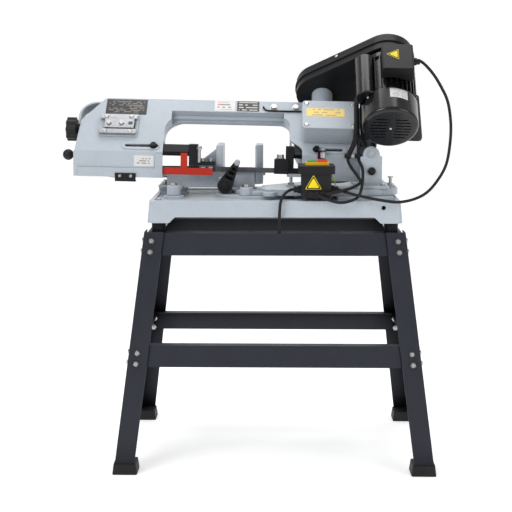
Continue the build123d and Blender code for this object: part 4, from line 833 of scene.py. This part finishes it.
def blade_stations():
    """Points round the loop as (place, width direction, outward direction), a pitch apart."""
    stations = []
    mid = WHEEL_RADIUS + BLADE_THICK / 2
    length = DRIVE_X - IDLER_X
    count = round(length / PITCH)
    for step in range(count):  # the lower run, where the blade is twisted upright
        x = IDLER_X + length * step / count
        share = 1.0
        if x < UPRIGHT_LEFT:
            share = max(0.0, (x - TWIST_OUT) / (UPRIGHT_LEFT - TWIST_OUT))
        if x > UPRIGHT_RIGHT:
            share = max(0.0, (TWIST_IN - x) / (TWIST_IN - UPRIGHT_RIGHT))
        lean = math.radians(WHEEL_LEAN * share)
        wide = WHEEL_OUT * math.cos(lean) + WHEEL_UP * math.sin(lean)
        out = -WHEEL_UP * math.cos(lean) + WHEEL_OUT * math.sin(lean)
        centre = slanted(x, WHEEL_U - mid, 0) + WHEEL_UP * UPRIGHT_LIFT * share * MM
        stations.append((centre, -wide, out))
    turns = round(math.pi * mid / PITCH)
    for step in range(turns):
        angle = math.pi * step / turns
        out = -WHEEL_UP * math.cos(angle) + ALONG * math.sin(angle)
        stations.append((slanted(DRIVE_X, WHEEL_U, 0) + out * mid * MM, -WHEEL_OUT, out))
    for step in range(count):
        x = DRIVE_X - length * step / count
        stations.append((slanted(x, WHEEL_U + mid, 0), -WHEEL_OUT, WHEEL_UP))
    for step in range(turns):
        angle = math.pi * step / turns
        out = WHEEL_UP * math.cos(angle) - ALONG * math.sin(angle)
        stations.append((slanted(IDLER_X, WHEEL_U, 0) + out * mid * MM, -WHEEL_OUT, out))
    return stations


def toothed_blade():
    """The CAD band with hook teeth along one edge, set alternately to each side."""
    bm = bmesh.new()
    rings = []
    stations = blade_stations()
    for index, (centre, wide, out) in enumerate(stations):
        next_centre, next_wide, next_out = stations[(index + 1) % len(stations)]
        halfway = (centre + next_centre) / 2
        mean_wide, mean_out = (wide + next_wide).normalized(), (out + next_out).normalized()
        for spot, edge, place_wide, place_out in (
            (centre, BLADE_HALF, wide, out),
            (halfway, BLADE_HALF - TOOTH, mean_wide, mean_out),
        ):
            lean = TOOTH_SET * (1 if index % 2 else -1) if edge == BLADE_HALF else 0
            ring = []
            for across, through in ((-BLADE_HALF, -1), (edge, -1), (edge, 1), (-BLADE_HALF, 1)):
                set_off = lean if across > 0 else 0
                offset = place_wide * across + place_out * (through * BLADE_THICK / 2 + set_off)
                ring.append(bm.verts.new(spot + offset * MM))
            rings.append(ring)
    for index, ring in enumerate(rings):
        following = rings[(index + 1) % len(rings)]
        for side in range(4):
            nearby = (side + 1) % 4
            bm.faces.new((ring[side], ring[nearby], following[nearby], following[side]))
    piece = add_piece("toothed_blade", bm, "arm", "blade_steel", smooth=False)
    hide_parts("blade")


toothed_blade()

# --- Floor, light and camera -----------------------------------------------------------------

AMBIENT = 0.42  # the strength of the even light from all round, and of the backdrop's own glow
FLOOR_HALF, WALL_TOP = 9.0, 9.0
BEND_START, BEND_RADIUS = 2.6, 2.4
FLOOR_DROP = 0.0003  # keeps the floor just under the feet


def backdrop():
    """A pale floor that curves up into a wall behind the saw."""
    s = Shader("backdrop_paper")
    base = s.mix(s.span(s.noise(1.2, 4), 0.3, 0.7), (0.86, 0.86, 0.86, 1), (0.89, 0.89, 0.89, 1))
    s.bump(s.noise(60, 3), 0.05, 0.3)
    s.feed(s.surface.inputs["Emission Color"], (1, 1, 1, 1))
    s.feed(s.surface.inputs["Emission Strength"], AMBIENT)
    s.finish(base, 0.9, specular=0.1)
    profile = [(-FLOOR_HALF, 0.0), (BEND_START, 0.0)]
    for step in range(1, 17):
        angle = math.pi / 2 * step / 16
        y, z = BEND_START + BEND_RADIUS * math.sin(angle), BEND_RADIUS * (1 - math.cos(angle))
        profile.append((y, z))
    profile.append((BEND_START + BEND_RADIUS, WALL_TOP))
    bm = bmesh.new()
    sides = (-FLOOR_HALF, FLOOR_HALF)
    rows = [[bm.verts.new((x, y, z - FLOOR_DROP)) for x in sides] for y, z in profile]
    for low_row, high_row in zip(rows, rows[1:]):
        bm.faces.new((low_row[0], low_row[1], high_row[1], high_row[0]))
    mesh = from_bmesh("backdrop", bm)
    mesh.materials.append(s.material)
    for face in mesh.polygons:
        face.use_smooth = True
    sheet = bpy.data.objects.new("backdrop", mesh)
    bpy.context.scene.collection.objects.link(sheet)


def softbox(name, place, target, size, power, height=None):
    light = bpy.data.lights.new(name, "AREA")
    light.shape = "RECTANGLE"
    light.size, light.size_y = size, height or size
    light.energy = power
    lamp = bpy.data.objects.new(name, light)
    lamp.location = place
    lamp.rotation_euler = (Vector(target) - Vector(place)).to_track_quat("-Z", "Y").to_euler()
    bpy.context.scene.collection.objects.link(lamp)


backdrop()
world = bpy.data.worlds.new("studio")
world.use_nodes = True
sky = world.node_tree.nodes["Background"]
sky.inputs["Color"].default_value = (1, 1, 1, 1)
sky.inputs["Strength"].default_value = AMBIENT
bpy.context.scene.world = world
softbox("key_light", (-1.7, -2.0, 2.5), target=(0, 0, 0.7), size=1.5, power=39)
softbox("fill_light", (2.3, -1.9, 1.5), target=(0, 0, 0.6), size=1.6, power=18)
softbox("top_light", (0.1, 0.5, 2.9), target=(0, 0, 0.6), size=2.0, power=27, height=1.2)

camera_data = bpy.data.cameras.new("camera")
camera_data.lens = 77.34
camera_data.sensor_width = 36
camera = bpy.data.objects.new("camera", camera_data)
camera.location = standing(1.0, -2719.2, 940)
PITCH_DOWN, YAW_LEFT = 0.165, 0.0175
camera.rotation_euler = (math.pi / 2 - PITCH_DOWN, 0, YAW_LEFT)
bpy.context.scene.collection.objects.link(camera)
bpy.context.scene.camera = camera
bpy.context.scene.view_settings.view_transform = "Standard"
